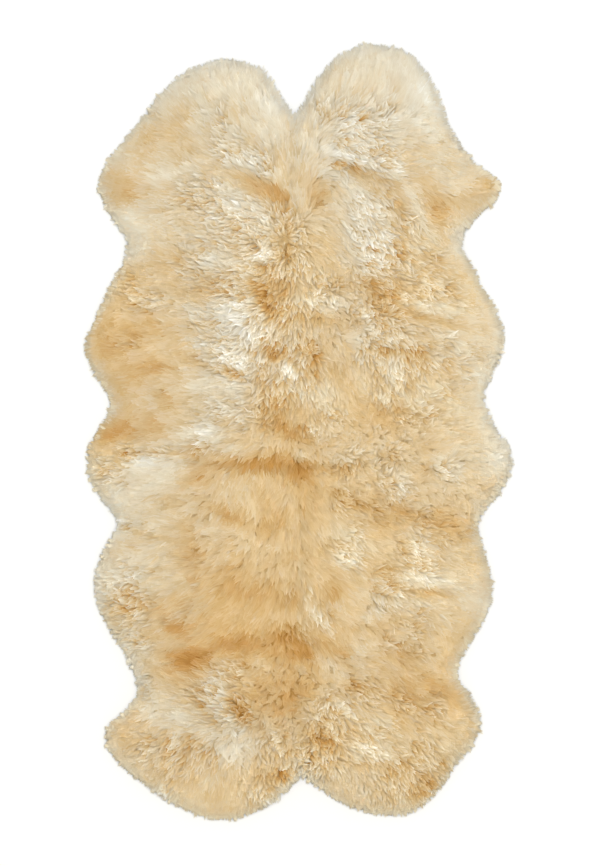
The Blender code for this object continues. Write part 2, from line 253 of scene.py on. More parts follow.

# %% [markdown]
# ## What the wool does where
# Four tables say what the photograph shows: `TONES` the pale crests and honey hollows, `COMBING`
# the way the tips point, `OPENINGS` where the wool opens into separate locks, and `WARMTH` where it
# is more golden or greyer. The tones are partly the wool's own colour and partly painted light and
# shade: painted highlight on the crests, painted shade in the hollows. Each row is a part of the rug
# with its soft spots, whose influence fades
# over their size. They are set as a painter blocks in a picture: first read off the photograph,
# then again after each comparison of the render with it.

# %% Pale crests and honey hollows, with painted light and shade
# where, then the column, row, half length, half width and shade of each spot, in hundredths from
# honey -100 to white 100, and its turn in degrees where it is turned
TONES = (
    ("left head", (215, 78, 62, 30, 20), (272, 104, 28, 16, 35, 90), (172, 128, 26, 22, -12),
        (146, 140, 16, 10, -25, 35), (180, 150, 60, 34, -16, 90), (222, 128, 24, 9, 18, -20),
        (234, 118, 16, 9, -22), (250, 150, 22, 6, -20)),
    ("right head", (385, 66, 42, 24, 20), (318, 106, 20, 12, 25, 60), (428, 95, 42, 20, 50, 90),
        (388, 118, 13, 5, 40, -42), (340, 130, 36, 18, 15, -10), (345, 157, 32, 5, 55, -15),
        (450, 155, 22, 10, -5, -40), (414, 150, 16, 10, -22), (314, 120, 16, 14, -25),
        (323, 102, 10, 8, -22), (350, 135, 16, 8, 18)),
    ("left neck", (118, 188, 22, 16, -45), (168, 175, 24, 10, 30), (130, 225, 22, 14, 50, 90),
        (132, 200, 12, 9, -40), (100, 196, 8, 18, 35), (236, 208, 22, 14, 42),
        (256, 184, 26, 7, -50, -22), (282, 200, 24, 11, -60, -70), (265, 225, 14, 8, 60, 90),
        (185, 202, 8, 6, -30), (240, 163, 20, 6, 30, -15), (203, 208, 18, 8, -22), (296, 230, 9, 16, 35),
        (262, 200, 14, 7, -25, -35), (262, 165, 22, 6, 28, -40), (254, 190, 14, 7, -22, -30),
        (290, 170, 12, 8, -18, -30), (279, 185, 14, 7, 22, -40), (240, 226, 14, 10, 10)),
    ("right neck", (303, 205, 32, 6, 20, -58), (322, 190, 14, 12, -40, 90), (358, 171, 32, 6, -50, -18),
        (368, 186, 16, 8, -35, -30), (364, 205, 24, 17, 30, 90), (396, 205, 27, 8, -55, -72),
        (374, 240, 16, 12, 42, 40), (396, 243, 13, 6, -20, 90), (314, 200, 14, 9, -22, -60),
        (391, 178, 11, 9, 30), (328, 174, 12, 10, 22), (332, 160, 18, 8, 18), (418, 212, 36, 6, 35, -62),
        (434, 206, 25, 10, -65, -72), (460, 204, 22, 9, -35, 10), (440, 192, 18, 10, 20),
        (496, 186, 10, 12, -50), (462, 236, 10, 16, 30), (405, 168, 9, 8, -20), (402, 217, 14, 14, 14)),
    ("left back", (145, 330, 24, 12, -45, 5), (130, 275, 12, 8, -40), (176, 256, 14, 12, -28),
        (170, 272, 22, 14, -28), (122, 296, 14, 9, -20), (262, 255, 12, 8, 45),
        (288, 250, 12, 9, -30, 90), (262, 295, 12, 11, -60, -50), (282, 290, 18, 11, -45),
        (233, 312, 26, 14, 70, -20), (244, 338, 14, 12, 50, 90), (212, 287, 16, 14, -35),
        (205, 325, 11, 8, -30), (200, 292, 34, 9, -26), (272, 314, 14, 9, -40), (296, 286, 9, 10, 30),
        (218, 262, 16, 12, 25), (210, 303, 16, 7, -28, -10), (246, 325, 16, 5, -30, -65),
        (260, 294, 14, 10, 10), (275, 264, 14, 7, 28), (236, 312, 9, 6, -20), (210, 270, 14, 12, 15),
        (270, 343, 10, 6, 28), (266, 343, 8, 8, 18)),
    ("right back", (375, 288, 15, 8, -85, -42), (340, 283, 16, 7, -30), (316, 305, 17, 6, 50, -5),
        (330, 323, 24, 6, -40, -8), (386, 325, 20, 5, -35, -65), (385, 307, 26, 9, -30),
        (371, 338, 14, 9, 32), (340, 302, 16, 10, 25, -30), (362, 262, 10, 16, 25),
        (322, 276, 10, 12, 22), (420, 257, 27, 5, -25, -8), (400, 286, 12, 10, -50, 90),
        (432, 305, 28, 7, 45, -3), (435, 321, 32, 5, -50, -14), (448, 285, 22, 5, -30, -60),
        (462, 330, 62, 34, 24, 90), (452, 301, 28, 8, -20), (402, 282, 14, 8, 28),
        (420, 250, 10, 20, 20, 20), (505, 335, 10, 16, 25)),
    ("left loin", (105, 345, 24, 18, -55, 90), (155, 370, 20, 10, -50), (120, 395, 26, 15, -30, 90),
        (165, 390, 48, 36, -24), (185, 350, 10, 18, -18), (97, 372, 10, 12, 35), (112, 412, 10, 10, 20),
        (170, 405, 16, 8, -22), (145, 350, 14, 10, -12), (272, 352, 13, 8, -80), (262, 380, 9, 8, -45),
        (288, 372, 13, 6, 55, 90), (217, 369, 34, 4, -45, -21), (230, 358, 28, 8, 50, -22),
        (218, 386, 34, 11, 35, -8), (242, 414, 22, 8, 25, -15), (275, 408, 24, 18, -42),
        (286, 362, 10, 7, -28), (283, 388, 14, 11, 22), (234, 366, 16, 5, 20)),
    ("right loin", (315, 352, 13, 7, -60, -35), (380, 352, 15, 6, -35), (395, 372, 15, 8, 52, 90),
        (312, 370, 10, 7, -40), (385, 414, 30, 11, -35), (335, 392, 22, 10, 20), (322, 396, 10, 12, 25),
        (328, 412, 9, 22, 22), (345, 385, 9, 9, -22), (335, 370, 14, 16, -18), (300, 385, 8, 14, 15),
        (422, 355, 10, 8, -45), (440, 385, 14, 11, 15), (450, 372, 13, 7, -35, -60),
        (488, 400, 42, 14, 35, 90), (440, 420, 24, 14, 20), (425, 398, 28, 9, 28),
        (480, 354, 10, 12, -25), (404, 346, 10, 8, 22)),
    # along the cross seam the thin dark lines and the dark trough are painted shadow under the ridge
    # above them; the trough also sinks the bed
    ("left half of the cross seam", (118, 432, 38, 12, -75, 12), (145, 463, 34, 7, 60),
        (155, 453, 34, 3, -32), (117, 463, 13, 4, -60, 45), (130, 482, 34, 16, 30),
        (165, 430, 16, 6, -22), (103, 438, 10, 8, -20), (132, 478, 14, 10, -28), (124, 447, 16, 6, 22),
        (124, 445, 14, 6, 15), (205, 433, 20, 7, 72), (288, 430, 24, 9, -60, -22),
        (198, 447, 10, 3, -40), (255, 464, 60, 8, -78, -2), (201, 478, 14, 10, -55),
        (277, 454, 12, 7, -32), (231, 428, 14, 6, -22), (222, 448, 36, 6, 18)),
    ("right half of the cross seam", (300, 468, 14, 10, -45), (385, 460, 24, 5, -15),
        (306, 498, 16, 12, -25, 90), (375, 455, 30, 8, 15), (336, 470, 14, 8, -28),
        (300, 478, 12, 9, -45), (301, 455, 14, 6, 28), (322, 432, 12, 7, 18), (310, 440, 9, 9, -20),
        (318, 495, 22, 18, -12), (345, 460, 22, 5, 20), (500, 460, 20, 16, 45),
        (402, 480, 13, 10, 35, 90), (420, 470, 10, 8, -28), (447, 470, 12, 12, 22),
        (455, 450, 12, 34, 18), (452, 426, 9, 14, -20), (442, 465, 10, 10, 15), (500, 440, 10, 14, 20)),
    ("lower left loin", (112, 555, 28, 20, 30, 60), (140, 532, 25, 4, -45, -15),
        (125, 545, 24, 8, -32, -15), (170, 502, 22, 12, -20), (111, 560, 12, 9, -25),
        (113, 507, 8, 14, 40), (100, 588, 14, 10, 28), (118, 582, 14, 8, 20),
        (230, 515, 27, 7, -42, -28), (275, 521, 13, 10, -50), (190, 545, 22, 13, -30, 90),
        (240, 585, 34, 26, -50), (248, 545, 16, 12, 15), (190, 560, 66, 24, -27, 90),
        (260, 572, 14, 9, 30), (264, 500, 24, 7, -25, 90), (268, 592, 12, 8, -25), (203, 531, 12, 9, 25),
        (225, 512, 12, 16, -20), (255, 505, 8, 12, 15)),
    ("lower right loin", (350, 500, 24, 6, -40, -28), (398, 510, 28, 7, -50, -18),
        (347, 535, 18, 12, 35, -30), (345, 559, 20, 8, 50), (332, 590, 10, 9, -60),
        (380, 521, 18, 7, -28), (386, 574, 14, 9, -28, -40), (320, 556, 14, 10, -22),
        (300, 540, 14, 22, -12), (385, 525, 16, 8, -12), (398, 598, 20, 8, 22), (450, 521, 26, 12, -50),
        (420, 545, 18, 12, 35, -30), (426, 578, 26, 7, 75, -3), (428, 592, 26, 4, -50, -6),
        (466, 598, 18, 12, 22), (480, 512, 10, 10, 35), (442, 537, 16, 10, -25)),
    ("lower left back", (132, 602, 24, 12, -35), (178, 625, 12, 9, -45), (165, 610, 14, 16, -30),
        (180, 690, 36, 28, -12), (155, 632, 14, 8, -18), (130, 642, 18, 8, 20, -45),
        (245, 642, 28, 14, -65), (290, 636, 24, 10, -90, -22), (190, 658, 15, 10, -90),
        (219, 690, 19, 9, 60, -40), (262, 690, 22, 12, -30, 90), (288, 694, 30, 15, -60, 90),
        (190, 660, 48, 40, -42), (290, 600, 18, 9, -38), (272, 629, 14, 5, 30), (276, 650, 10, 8, -30),
        (207, 678, 16, 8, -22, -35), (258, 696, 14, 8, -25, -30)),
    ("lower right back", (302, 655, 15, 9, -60), (318, 617, 24, 6, 60, -52), (355, 685, 9, 7, -55, -30),
        (333, 643, 26, 9, -45, -50), (378, 625, 16, 9, -22), (300, 602, 10, 8, -18),
        (345, 648, 14, 9, -20, -50), (300, 690, 10, 14, -15), (312, 680, 8, 16, -25),
        (340, 627, 22, 7, -25), (400, 655, 28, 10, -30), (446, 692, 28, 9, -50, -26),
        (405, 692, 38, 18, -50, -8), (422, 604, 10, 8, 20), (425, 662, 20, 12, -12),
        (425, 693, 26, 8, 12)),
    ("lower left head", (165, 710, 32, 20, 30), (202, 704, 24, 4, -50, -50), (240, 708, 22, 8, -85, -48),
        (130, 732, 28, 14, -35), (166, 752, 22, 5, -45, 90), (186, 752, 18, 5, -45, 80),
        (230, 750, 16, 10, 40), (212, 790, 28, 14, 10), (275, 776, 13, 7, -60),
        (207, 750, 16, 8, -25, -30), (277, 712, 12, 8, -25, -20), (291, 764, 12, 8, 28),
        (110, 735, 10, 10, 22), (175, 795, 18, 8, 15, -35)),
    ("lower right head", (335, 705, 16, 8, 35), (318, 736, 14, 7, -70, -32), (370, 750, 24, 9, 55, -14),
        (372, 764, 26, 4, -35, -4), (438, 772, 24, 11, -50, 55), (424, 790, 13, 8, -45, 20),
        (372, 716, 14, 11, 32), (340, 746, 12, 9, -28), (405, 708, 18, 6, -22), (404, 776, 10, 9, -22),
        (310, 722, 10, 8, 18), (440, 768, 26, 9, 22, 45), (350, 768, 12, 7, 15), (395, 808, 34, 7, 15),
        (380, 735, 16, 8, 18), (442, 747, 20, 12, 18)),
)
print(sum(len(spots) - 1 for spots in TONES), "soft spots of tone")

# %% Which way the tips point
# where, then the column, row, reach, way in degrees (0 right, 90 up) and pull in tenths
COMBING = (
    ("left head", (210, 82, 45, 112, 10), (175, 150, 50, 155, 10), (238, 145, 34, 146, 14)),
    ("right head", (328, 100, 26, 75, 10), (380, 85, 45, 88, 10), (352, 148, 38, 330, 16),
        (432, 150, 36, 350, 10), (300, 155, 26, 92, 14)),
    ("left neck", (150, 210, 45, 178, 10), (235, 215, 36, 165, 16), (294, 205, 20, 96, 12)),
    ("right neck", (325, 240, 30, 320, 12), (345, 186, 26, 320, 12), (368, 220, 30, 318, 16),
        (430, 220, 40, 322, 12)),
    ("left back", (190, 265, 50, 170, 12), (238, 300, 28, 172, 16), (258, 332, 18, 262, 20),
        (294, 275, 20, 268, 15), (297, 322, 20, 272, 15)),
    ("right back", (385, 262, 28, 330, 14), (425, 300, 40, 345, 14)),
    ("left loin", (130, 345, 50, 181, 14), (280, 374, 22, 265, 16), (215, 390, 40, 172, 12)),
    ("right loin", (395, 368, 24, 272, 18), (465, 350, 40, 350, 10), (335, 375, 34, 290, 10),
        (298, 400, 22, 270, 15)),
    ("left half of the cross seam", (200, 436, 34, 182, 16), (125, 458, 34, 180, 18),
        (260, 475, 40, 268, 12), (140, 495, 40, 181, 18)),
    ("right half of the cross seam", (460, 430, 45, 358, 10)),
    ("lower left loin", (130, 575, 50, 186, 16)),
    ("lower right loin", (350, 540, 45, 330, 14), (430, 570, 45, 340, 16), (300, 520, 22, 268, 13),
        (300, 590, 22, 270, 13)),
    ("lower left back", (190, 600, 50, 200, 10), (250, 600, 45, 250, 8), (212, 690, 36, 152, 18)),
    ("lower right back", (318, 615, 26, 305, 18), (390, 690, 45, 330, 13)),
    ("lower left head", (150, 745, 45, 212, 10), (220, 780, 50, 262, 10)),
    ("lower right head", (370, 745, 34, 342, 14), (430, 740, 45, 325, 10), (370, 790, 50, 272, 10)),
)
print(sum(len(spots) - 1 for spots in COMBING), "ways of combing")

# %% Where the wool opens into separate locks
# where, then the column, row, reach and openness in tenths
OPENINGS = (
    ("left head", (190, 103, 14, 3), (220, 122, 18, 5), (235, 156, 24, 6)),
    ("right head", (325, 115, 18, 6), (350, 118, 18, 5), (380, 120, 18, 6), (350, 141, 24, 9),
        (376, 150, 20, 9)),
    ("left neck", (265, 165, 16, 9), (175, 205, 14, 5), (200, 193, 20, 6), (215, 205, 22, 6),
        (245, 225, 30, 10), (285, 220, 18, 7)),
    ("right neck", (298, 232, 10, 6), (380, 165, 14, 9), (335, 165, 20, 4), (355, 210, 20, 8),
        (376, 200, 18, 7), (405, 220, 16, 7), (370, 240, 28, 10)),
    ("left back", (265, 260, 30, 10), (290, 260, 24, 10), (205, 265, 30, 5), (240, 290, 26, 9),
        (265, 315, 30, 10), (290, 310, 22, 9), (205, 322, 16, 5), (120, 282, 18, 8), (145, 300, 18, 7),
        (165, 305, 12, 6)),
    ("right back", (395, 255, 24, 10), (370, 268, 20, 9), (385, 290, 18, 7), (420, 290, 22, 9),
        (430, 263, 16, 6), (446, 290, 12, 6), (320, 290, 22, 8), (345, 285, 14, 4), (360, 312, 18, 6),
        (385, 320, 28, 9), (442, 335, 14, 4), (455, 305, 14, 4)),
    ("left loin", (225, 345, 26, 6), (240, 367, 22, 9), (265, 350, 24, 9), (280, 388, 24, 8),
        (255, 412, 24, 6), (130, 345, 16, 3), (222, 415, 18, 7)),
    ("right loin", (300, 352, 26, 10), (312, 380, 20, 6), (330, 415, 20, 6), (375, 350, 22, 10),
        (410, 357, 28, 10), (385, 386, 20, 7), (455, 358, 22, 4), (446, 390, 16, 4), (420, 412, 26, 5),
        (400, 422, 18, 5)),
    ("left half of the cross seam", (205, 445, 14, 9), (165, 453, 12, 8), (135, 454, 14, 8),
        (110, 468, 16, 8), (125, 478, 14, 5)),
    ("right half of the cross seam", (310, 426, 16, 6), (390, 455, 18, 6), (350, 463, 22, 6),
        (390, 486, 20, 8), (444, 470, 14, 7)),
    ("lower left loin", (122, 525, 14, 9), (130, 580, 24, 7)),
    ("lower right loin", (340, 500, 16, 8), (366, 512, 14, 5), (420, 520, 16, 6), (440, 535, 14, 6),
        (470, 526, 14, 5), (340, 550, 20, 8), (350, 532, 12, 5), (405, 546, 18, 9), (417, 562, 18, 10),
        (385, 582, 22, 10), (300, 583, 16, 4)),
    ("lower left back", (295, 625, 14, 7), (140, 605, 18, 9), (115, 602, 24, 6), (140, 640, 22, 6),
        (145, 690, 18, 4), (187, 612, 12, 4), (230, 680, 18, 8), (245, 665, 16, 5), (210, 695, 22, 6)),
    ("lower right back", (415, 620, 20, 6), (390, 640, 16, 5), (412, 650, 14, 5), (380, 602, 14, 5),
        (320, 610, 16, 6), (360, 690, 18, 8)),
    ("lower left head", (240, 710, 22, 10), (150, 745, 14, 7), (180, 750, 24, 8), (165, 785, 18, 7),
        (210, 752, 20, 6), (275, 740, 20, 7), (285, 775, 22, 8), (260, 792, 20, 7)),
    ("lower right head", (300, 760, 20, 7), (322, 750, 28, 10), (330, 720, 24, 9), (325, 703, 18, 7),
        (365, 738, 24, 8), (372, 780, 16, 4), (400, 702, 22, 5), (430, 706, 20, 5), (470, 700, 16, 8),
        (420, 745, 20, 8), (400, 766, 24, 8), (455, 760, 18, 7), (430, 790, 22, 9), (395, 792, 18, 6)),
)
print(sum(len(spots) - 1 for spots in OPENINGS), "openings")

# %% Where it is more golden or greyer
# where, then the column, row, reach and warmth added in tenths
WARMTH = (
    ("left head", (215, 105, 75, -9)),
    ("right head", (375, 95, 75, -9), (340, 150, 34, -4)),
    ("left neck", (180, 225, 60, -6), (255, 185, 28, -3)),
    ("right neck", (450, 175, 40, -3), (345, 185, 34, -5), (455, 245, 18, -5), (345, 235, 22, -4),
        (412, 246, 18, 5), (484, 187, 20, 4)),
    ("left back", (230, 320, 45, -6), (118, 298, 26, 9), (288, 292, 30, 9), (276, 256, 14, -4),
        (200, 275, 18, -3)),
    ("right back", (355, 326, 28, -4), (370, 255, 30, -5), (300, 252, 22, 9), (400, 290, 30, 3),
        (455, 290, 30, 3)),
    ("left loin", (205, 400, 50, -5), (145, 365, 30, 2), (170, 412, 42, -6), (290, 415, 28, 3)),
    ("right loin", (480, 360, 45, -2), (310, 400, 30, 7), (420, 395, 26, 6), (390, 410, 40, 3)),
    # the golden line along the cross seam is painted shadow under the ridge, made warmer here
    ("left half of the cross seam", (98, 452, 28, 6), (132, 452, 14, 7), (165, 451, 14, 7),
        (200, 446, 14, 6), (185, 475, 32, -6), (265, 475, 40, 3)),
    ("right half of the cross seam", (500, 450, 30, -4), (352, 482, 22, 4)),
    ("lower left loin", (155, 500, 55, -6), (185, 575, 45, -7), (115, 580, 45, -4), (112, 560, 20, 3)),
    ("lower right loin", (470, 595, 26, -5), (300, 545, 50, 6), (385, 555, 36, 4), (402, 584, 14, 4),
        (475, 560, 34, 3)),
    ("lower left back", (165, 650, 34, -4), (252, 698, 18, 4), (165, 665, 34, -7), (258, 610, 50, 6),
        (250, 690, 14, 4), (242, 600, 24, 3), (122, 628, 24, 4)),
    ("lower right back", (460, 640, 26, 6), (375, 600, 24, -4), (345, 655, 20, -5), (392, 622, 16, 4),
        (312, 682, 16, 4)),
    ("lower left head", (190, 700, 45, -8), (240, 728, 36, -9), (140, 700, 20, 6), (225, 765, 45, 5),
        (276, 752, 18, 5)),
    ("lower right head", (340, 735, 28, 8), (420, 750, 46, 5), (350, 772, 14, -4), (395, 806, 24, 3)),
)
print(sum(len(spots) - 1 for spots in WARMTH), "spots of warmth")

# %% Read the tables at any place


def spot_weight(column, row, middle, half_length, half_width, turn=0):
    """How much a soft spot counts at each column and row: 1 in its middle, fading outwards."""
    cosine, sine = math.cos(math.radians(turn)), math.sin(math.radians(turn))
    right, up = column - middle[0], middle[1] - row
    along = (right * cosine + up * sine) / half_length
    across = (up * cosine - right * sine) / half_width
    return np.exp(-0.9 * (along**2 + across**2))


def round_spots(table, x, y, size=1.0):
    """How much each round spot of a table counts at these places, and its other values."""
    column, row = to_pixels(x, y)
    for _, *spots in table:
        for at_column, at_row, reach, *values in spots:
            reach = size * reach
            yield spot_weight(column, row, (at_column, at_row), reach, reach), *values


def tone_at(x, y):
    """The shade that the table gives these places, from -1 for honey to 1 for white, painted light and
    shade included.
    """
    column, row = to_pixels(x, y)
    total = np.zeros_like(column)
    for _, *spots in TONES:
        for at_column, at_row, length, width, shade, *turn in spots:
            total += shade / 100 * spot_weight(column, row, (at_column, at_row), length, width, *turn)
    return np.clip(total, -1.2, 1.2)


def openness_at(x, y):
    """How far the wool opens into separate locks at these places, from 0 to 1."""
    closed = 1.0
    for weight, openness in round_spots(OPENINGS, x, y, 0.75):
        closed = closed * (1 - openness / 10 * weight)
    return 1 - closed


def combed_way(x, y):
    """The way that the tips point, as unit arrows, and how sure it is there, from 0 to 1."""
    rim_pull = 0.12 + 1.3 * np.exp(-np.clip(read_grid(rim_distance, x, y), 0, None) / 0.030)
    way_x = rim_pull * read_grid(rim_x, x, y)
    way_y = rim_pull * read_grid(rim_y, x, y)
    for weight, degrees, pull in round_spots(COMBING, x, y):
        way_x = way_x + pull / 10 * weight * math.cos(math.radians(degrees))
        way_y = way_y + pull / 10 * weight * math.sin(math.radians(degrees))
    length = np.maximum(np.hypot(way_x, way_y), 1e-6)
    return way_x / length, way_y / length, np.clip(length / 1.05, 0, 1)


# %% A soft uneven field


def ripple(x, y, wavelength, seed):
    """A smooth uneven field of about -1 to 1, from a dozen plain waves in all directions."""
    chance = np.random.default_rng(seed)
    total = np.zeros_like(np.asarray(x, float))
    for turn, phase, stretch in chance.uniform(0, 1, (12, 3)):
        angle, number = math.tau * turn, math.tau / wavelength * (0.7 + 0.7 * stretch)
        across = np.asarray(x) * math.cos(angle) + np.asarray(y) * math.sin(angle)
        total += np.cos(number * across + math.tau * phase)
    return total / 3.5


# %% [markdown]
# ## The bed of underwool
# Under its long locks a sheepskin has a dense, short underwool, which closes the gaps and gives the
# rug its body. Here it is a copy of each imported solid, a little smaller, made finer by subdivision
# and then moved: crests swell and hollows sink. The map of its height is worked out first, because
# the locks stand on the same map.

# %% The height of the bed
BED_SHARE = 0.85
BED_FLOOR = 0.0026
RIM_DRAW_IN = 0.007
RIM_REACH = 0.045
RIM_LOWERED = 0.30
RELIEF_PALE = 0.0030
RELIEF_DARK = 0.0055
SEAM_FILL = 0.0075

mesh_x, mesh_y = np.meshgrid(grid_x, grid_y)


def drawn_in(distance):
    """How far the bed's points move in from the rim, from their distance from it."""
    return RIM_DRAW_IN * np.clip(1 - distance / RIM_REACH, 0, 1)


def relief_at(x, y):
    """How much the wool swells or sinks at these places, in metres."""
    tone = tone_at(x, y)
    hills = np.where(tone > 0, RELIEF_PALE, RELIEF_DARK) * tone
    hills = hills + 0.0020 * ripple(x, y, 0.085, 3) + 0.0010 * ripple(x, y, 0.040, 4)
    hills = hills + SEAM_FILL * np.exp(-((distance_to_seams(x, y) / 0.022) ** 2))
    return hills * np.clip(read_grid(rim_distance, x, y) / 0.05, 0, 1)


shift = drawn_in((rim_distance - RIM_DRAW_IN) / (1 - RIM_DRAW_IN / RIM_REACH))
bed_heights = read_grid(solid_heights, mesh_x + rim_x * shift, mesh_y + rim_y * shift)
bed_heights = BED_FLOOR + BED_SHARE * bed_heights + relief_at(mesh_x, mesh_y)
bed_heights = np.where(rim_distance > RIM_DRAW_IN, bed_heights, 0)
path_heights = softened(bed_heights, 8)
print("the bed stands up to", round(1000 * bed_heights.max(), 1), "mm high")

# %% [markdown]
# ## The wool's colours
# Wool from root to tip goes from honey to cream; the honey roots are partly the wool's own colour
# and partly painted golden shade down in the pile. One group of shader nodes holds the colours, so
# the bed and the locks match. It takes a shade, from honey 0 to white 1, and a warmth, because the
# wool at the heads is greyer than the wool of the back.

# %% The group of wool colours
HONEY_TO_WHITE = (
    (0.00, (0.35, 0.157, 0.028)),
    (0.20, (0.50, 0.275, 0.076)),
    (0.40, (0.58, 0.395, 0.172)),
    (0.60, (0.65, 0.508, 0.295)),
    (0.80, (0.73, 0.650, 0.465)),
    (1.00, (0.91, 0.860, 0.755)),
)
# the grey wool's darkest stops are as golden as the warm ones, so that the painted shade at the roots is
# golden here too
COOL_WOOL = (
    (0.00, (0.37, 0.175, 0.034)),
    (0.20, (0.51, 0.300, 0.100)),
    (0.40, (0.57, 0.430, 0.236)),
    (0.60, (0.63, 0.557, 0.410)),
    (0.80, (0.715, 0.682, 0.578)),
    (1.00, (0.90, 0.880, 0.825)),
)


def fill_ramp(ramp, stops):
    """Sets the stops of a colour ramp."""
    while len(ramp.elements) < len(stops):
        ramp.elements.new(0.5)
    for element, (place, colour) in zip(ramp.elements, stops):
        element.position = place
        element.color = (*colour, 1)


def wool_colours():
    """A group that gives the colour of wool of some shade and warmth."""
    group = bpy.data.node_groups.new("wool_colours", "ShaderNodeTree")
    for name in ("Shade", "Warmth"):
        socket = group.interface.new_socket(name, in_out="INPUT", socket_type="NodeSocketFloat")
        socket.default_value = 0.5
    group.interface.new_socket("Colour", in_out="OUTPUT", socket_type="NodeSocketColor")
    nodes, links = group.nodes, group.links
    given, result = nodes.new("NodeGroupInput"), nodes.new("NodeGroupOutput")
    mix = nodes.new("ShaderNodeMix")
    mix.data_type = "RGBA"
    for side, stops in (("A", COOL_WOOL), ("B", HONEY_TO_WHITE)):
        ramp = nodes.new("ShaderNodeValToRGB")
        fill_ramp(ramp.color_ramp, stops)
        links.new(given.outputs["Shade"], ramp.inputs["Fac"])
        links.new(ramp.outputs["Color"], mix.inputs[side])
    links.new(given.outputs["Warmth"], mix.inputs["Factor"])
    links.new(mix.outputs["Result"], result.inputs["Colour"])
    return group


colours_of_wool = wool_colours()

# %% A plain start for each material


def new_material(name, roughness, sheen):
    """A material with the Principled shader, and its nodes and links."""
    material = bpy.data.materials.new(name)
    material.use_nodes = True
    tree = material.node_tree
    shader = tree.nodes["Principled BSDF"]
    shader.inputs["Roughness"].default_value = roughness
    shader.inputs["Specular IOR Level"].default_value = 0.12
    shader.inputs["Sheen Weight"].default_value = sheen
    shader.inputs["Sheen Roughness"].default_value = 0.6
    return material, tree, shader


def let_light_through(shader):
    """Wool is clear enough that light goes a few millimetres into it and comes out softer."""
    shader.subsurface_method = "BURLEY"
    shader.inputs["Subsurface Weight"].default_value = 0.6
    shader.inputs["Subsurface Radius"].default_value = (1.0, 0.90, 0.75)
    shader.inputs["Subsurface Scale"].default_value = 0.005


# %% Short ways to add nodes


def maths(tree, operation, *values, limited=False):
    """A Math node on sockets or numbers, as its output socket."""
    node = tree.nodes.new("ShaderNodeMath")
    node.operation = operation
    node.use_clamp = limited
    for socket, value in zip(node.inputs, values):
        if isinstance(value, bpy.types.NodeSocket):
            tree.links.new(value, socket)
        else:
            socket.default_value = value
    return node.outputs[0]


def noise(tree, place, scale, detail, distortion=0.0):
    """A noise texture, as its output socket."""
    node = tree.nodes.new("ShaderNodeTexNoise")
    node.inputs["Scale"].default_value = scale
    node.inputs["Detail"].default_value = detail
    node.inputs["Distortion"].default_value = distortion
    tree.links.new(place, node.inputs["Vector"])
    return node.outputs["Fac"]


def object_place(tree):
    """The place on the object, as an output socket."""
    return tree.nodes.new("ShaderNodeTexCoord").outputs["Object"]


def roughen(tree, shader, height, strength, distance):
    """Lets the light see small heights that the mesh doesn't have."""
    bump = tree.nodes.new("ShaderNodeBump")
    bump.inputs["Strength"].default_value = strength
    bump.inputs["Distance"].default_value = distance
    tree.links.new(height, bump.inputs["Height"])
    tree.links.new(bump.outputs["Normal"], shader.inputs["Normal"])


def colour_as_wool(tree, shader, shade, warmth):
    """Gives the shader the wool's colour of this shade and warmth."""
    colours = tree.nodes.new("ShaderNodeGroup")
    colours.node_tree = colours_of_wool
    tree.links.new(shade, colours.inputs["Shade"])
    tree.links.new(warmth, colours.inputs["Warmth"])
    tree.links.new(colours.outputs["Colour"], shader.inputs["Base Color"])


def colour_by_ramp(tree, shader, value, stops):
    """Gives the shader the colour that a ramp has for this value."""
    colours = tree.nodes.new("ShaderNodeValToRGB")
    fill_ramp(colours.color_ramp, stops)
    tree.links.new(value, colours.inputs["Fac"])
    tree.links.new(colours.outputs["Color"], shader.inputs["Base Color"])


# %% The material of the underwool


def underwool_material():
    """Dense short wool: the bed's own shade made darker, partly its deeper colour and partly painted
    shade under the locks, and broken by fine curls.
    """
    material, tree, shader = new_material("underwool", 0.95, 0.08)
    let_light_through(shader)
    stored = {}
    for name in ("shade", "warmth"):
        attribute = tree.nodes.new("ShaderNodeAttribute")
        attribute.attribute_name = name
        stored[name] = attribute.outputs["Fac"]
    curls = noise(tree, object_place(tree), 160, 4, 1.2)
    # mostly darker: painted shade under the locks, broken by the curls
    change = maths(tree, "MULTIPLY_ADD", curls, 0.20, -0.14)
    colour_as_wool(tree, shader, maths(tree, "ADD", stored["shade"], change), stored["warmth"])
    roughen(tree, shader, curls, 0.6, 0.003)
    return material


underwool = underwool_material()

# %% Shade and warmth of the wool at any place
OWN_WARMTH = 0.665
OWN_SHADE = 0.545
RIM_PAINTED_LIGHT = 0.97


def inside_rim(x, y):
    """How far inside the rim these places are."""
    return np.clip(read_grid(rim_distance, x, y), 0, None)


def warmth_at(x, y):
    """How golden the wool is at these places, from grey 0 to golden 1, painted warmer at the rim."""
    total = OWN_WARMTH
    for weight, warmth in round_spots(WARMTH, x, y):
        total = total + warmth / 10 * weight
    # warmer at the rim as well, painted so that the rim's painted light stays cream and not grey in its
    # shade
    return np.clip(total + 0.20 * np.exp(-inside_rim(x, y) / 0.015), 0, 1)


def shade_at(x, y):
    """The wool's shade at these places, from honey 0 to white 1, with the tables' painted light and
    shade. It is painted whiter at the rim, for the light that comes through the thin fringe.
    """
    small = 0.035 * ripple(x, y, 0.060, 11) + 0.03 * ripple(x, y, 0.028, 12)
    shade = np.clip(OWN_SHADE + 0.42 * tone_at(x, y) + small, 0, 1)
    distance = inside_rim(x, y)
    # painted light at the rim: the colour is lifted towards near white, for light through the thin
    # fringe and against the shade of its steep sides
    rim = 0.62 * np.exp(-distance / 0.007) + 0.17 * np.exp(-distance / 0.030)
    return shade + rim * np.clip(RIM_PAINTED_LIGHT - shade, 0, 1)


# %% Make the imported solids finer
SUBDIVISIONS = 2


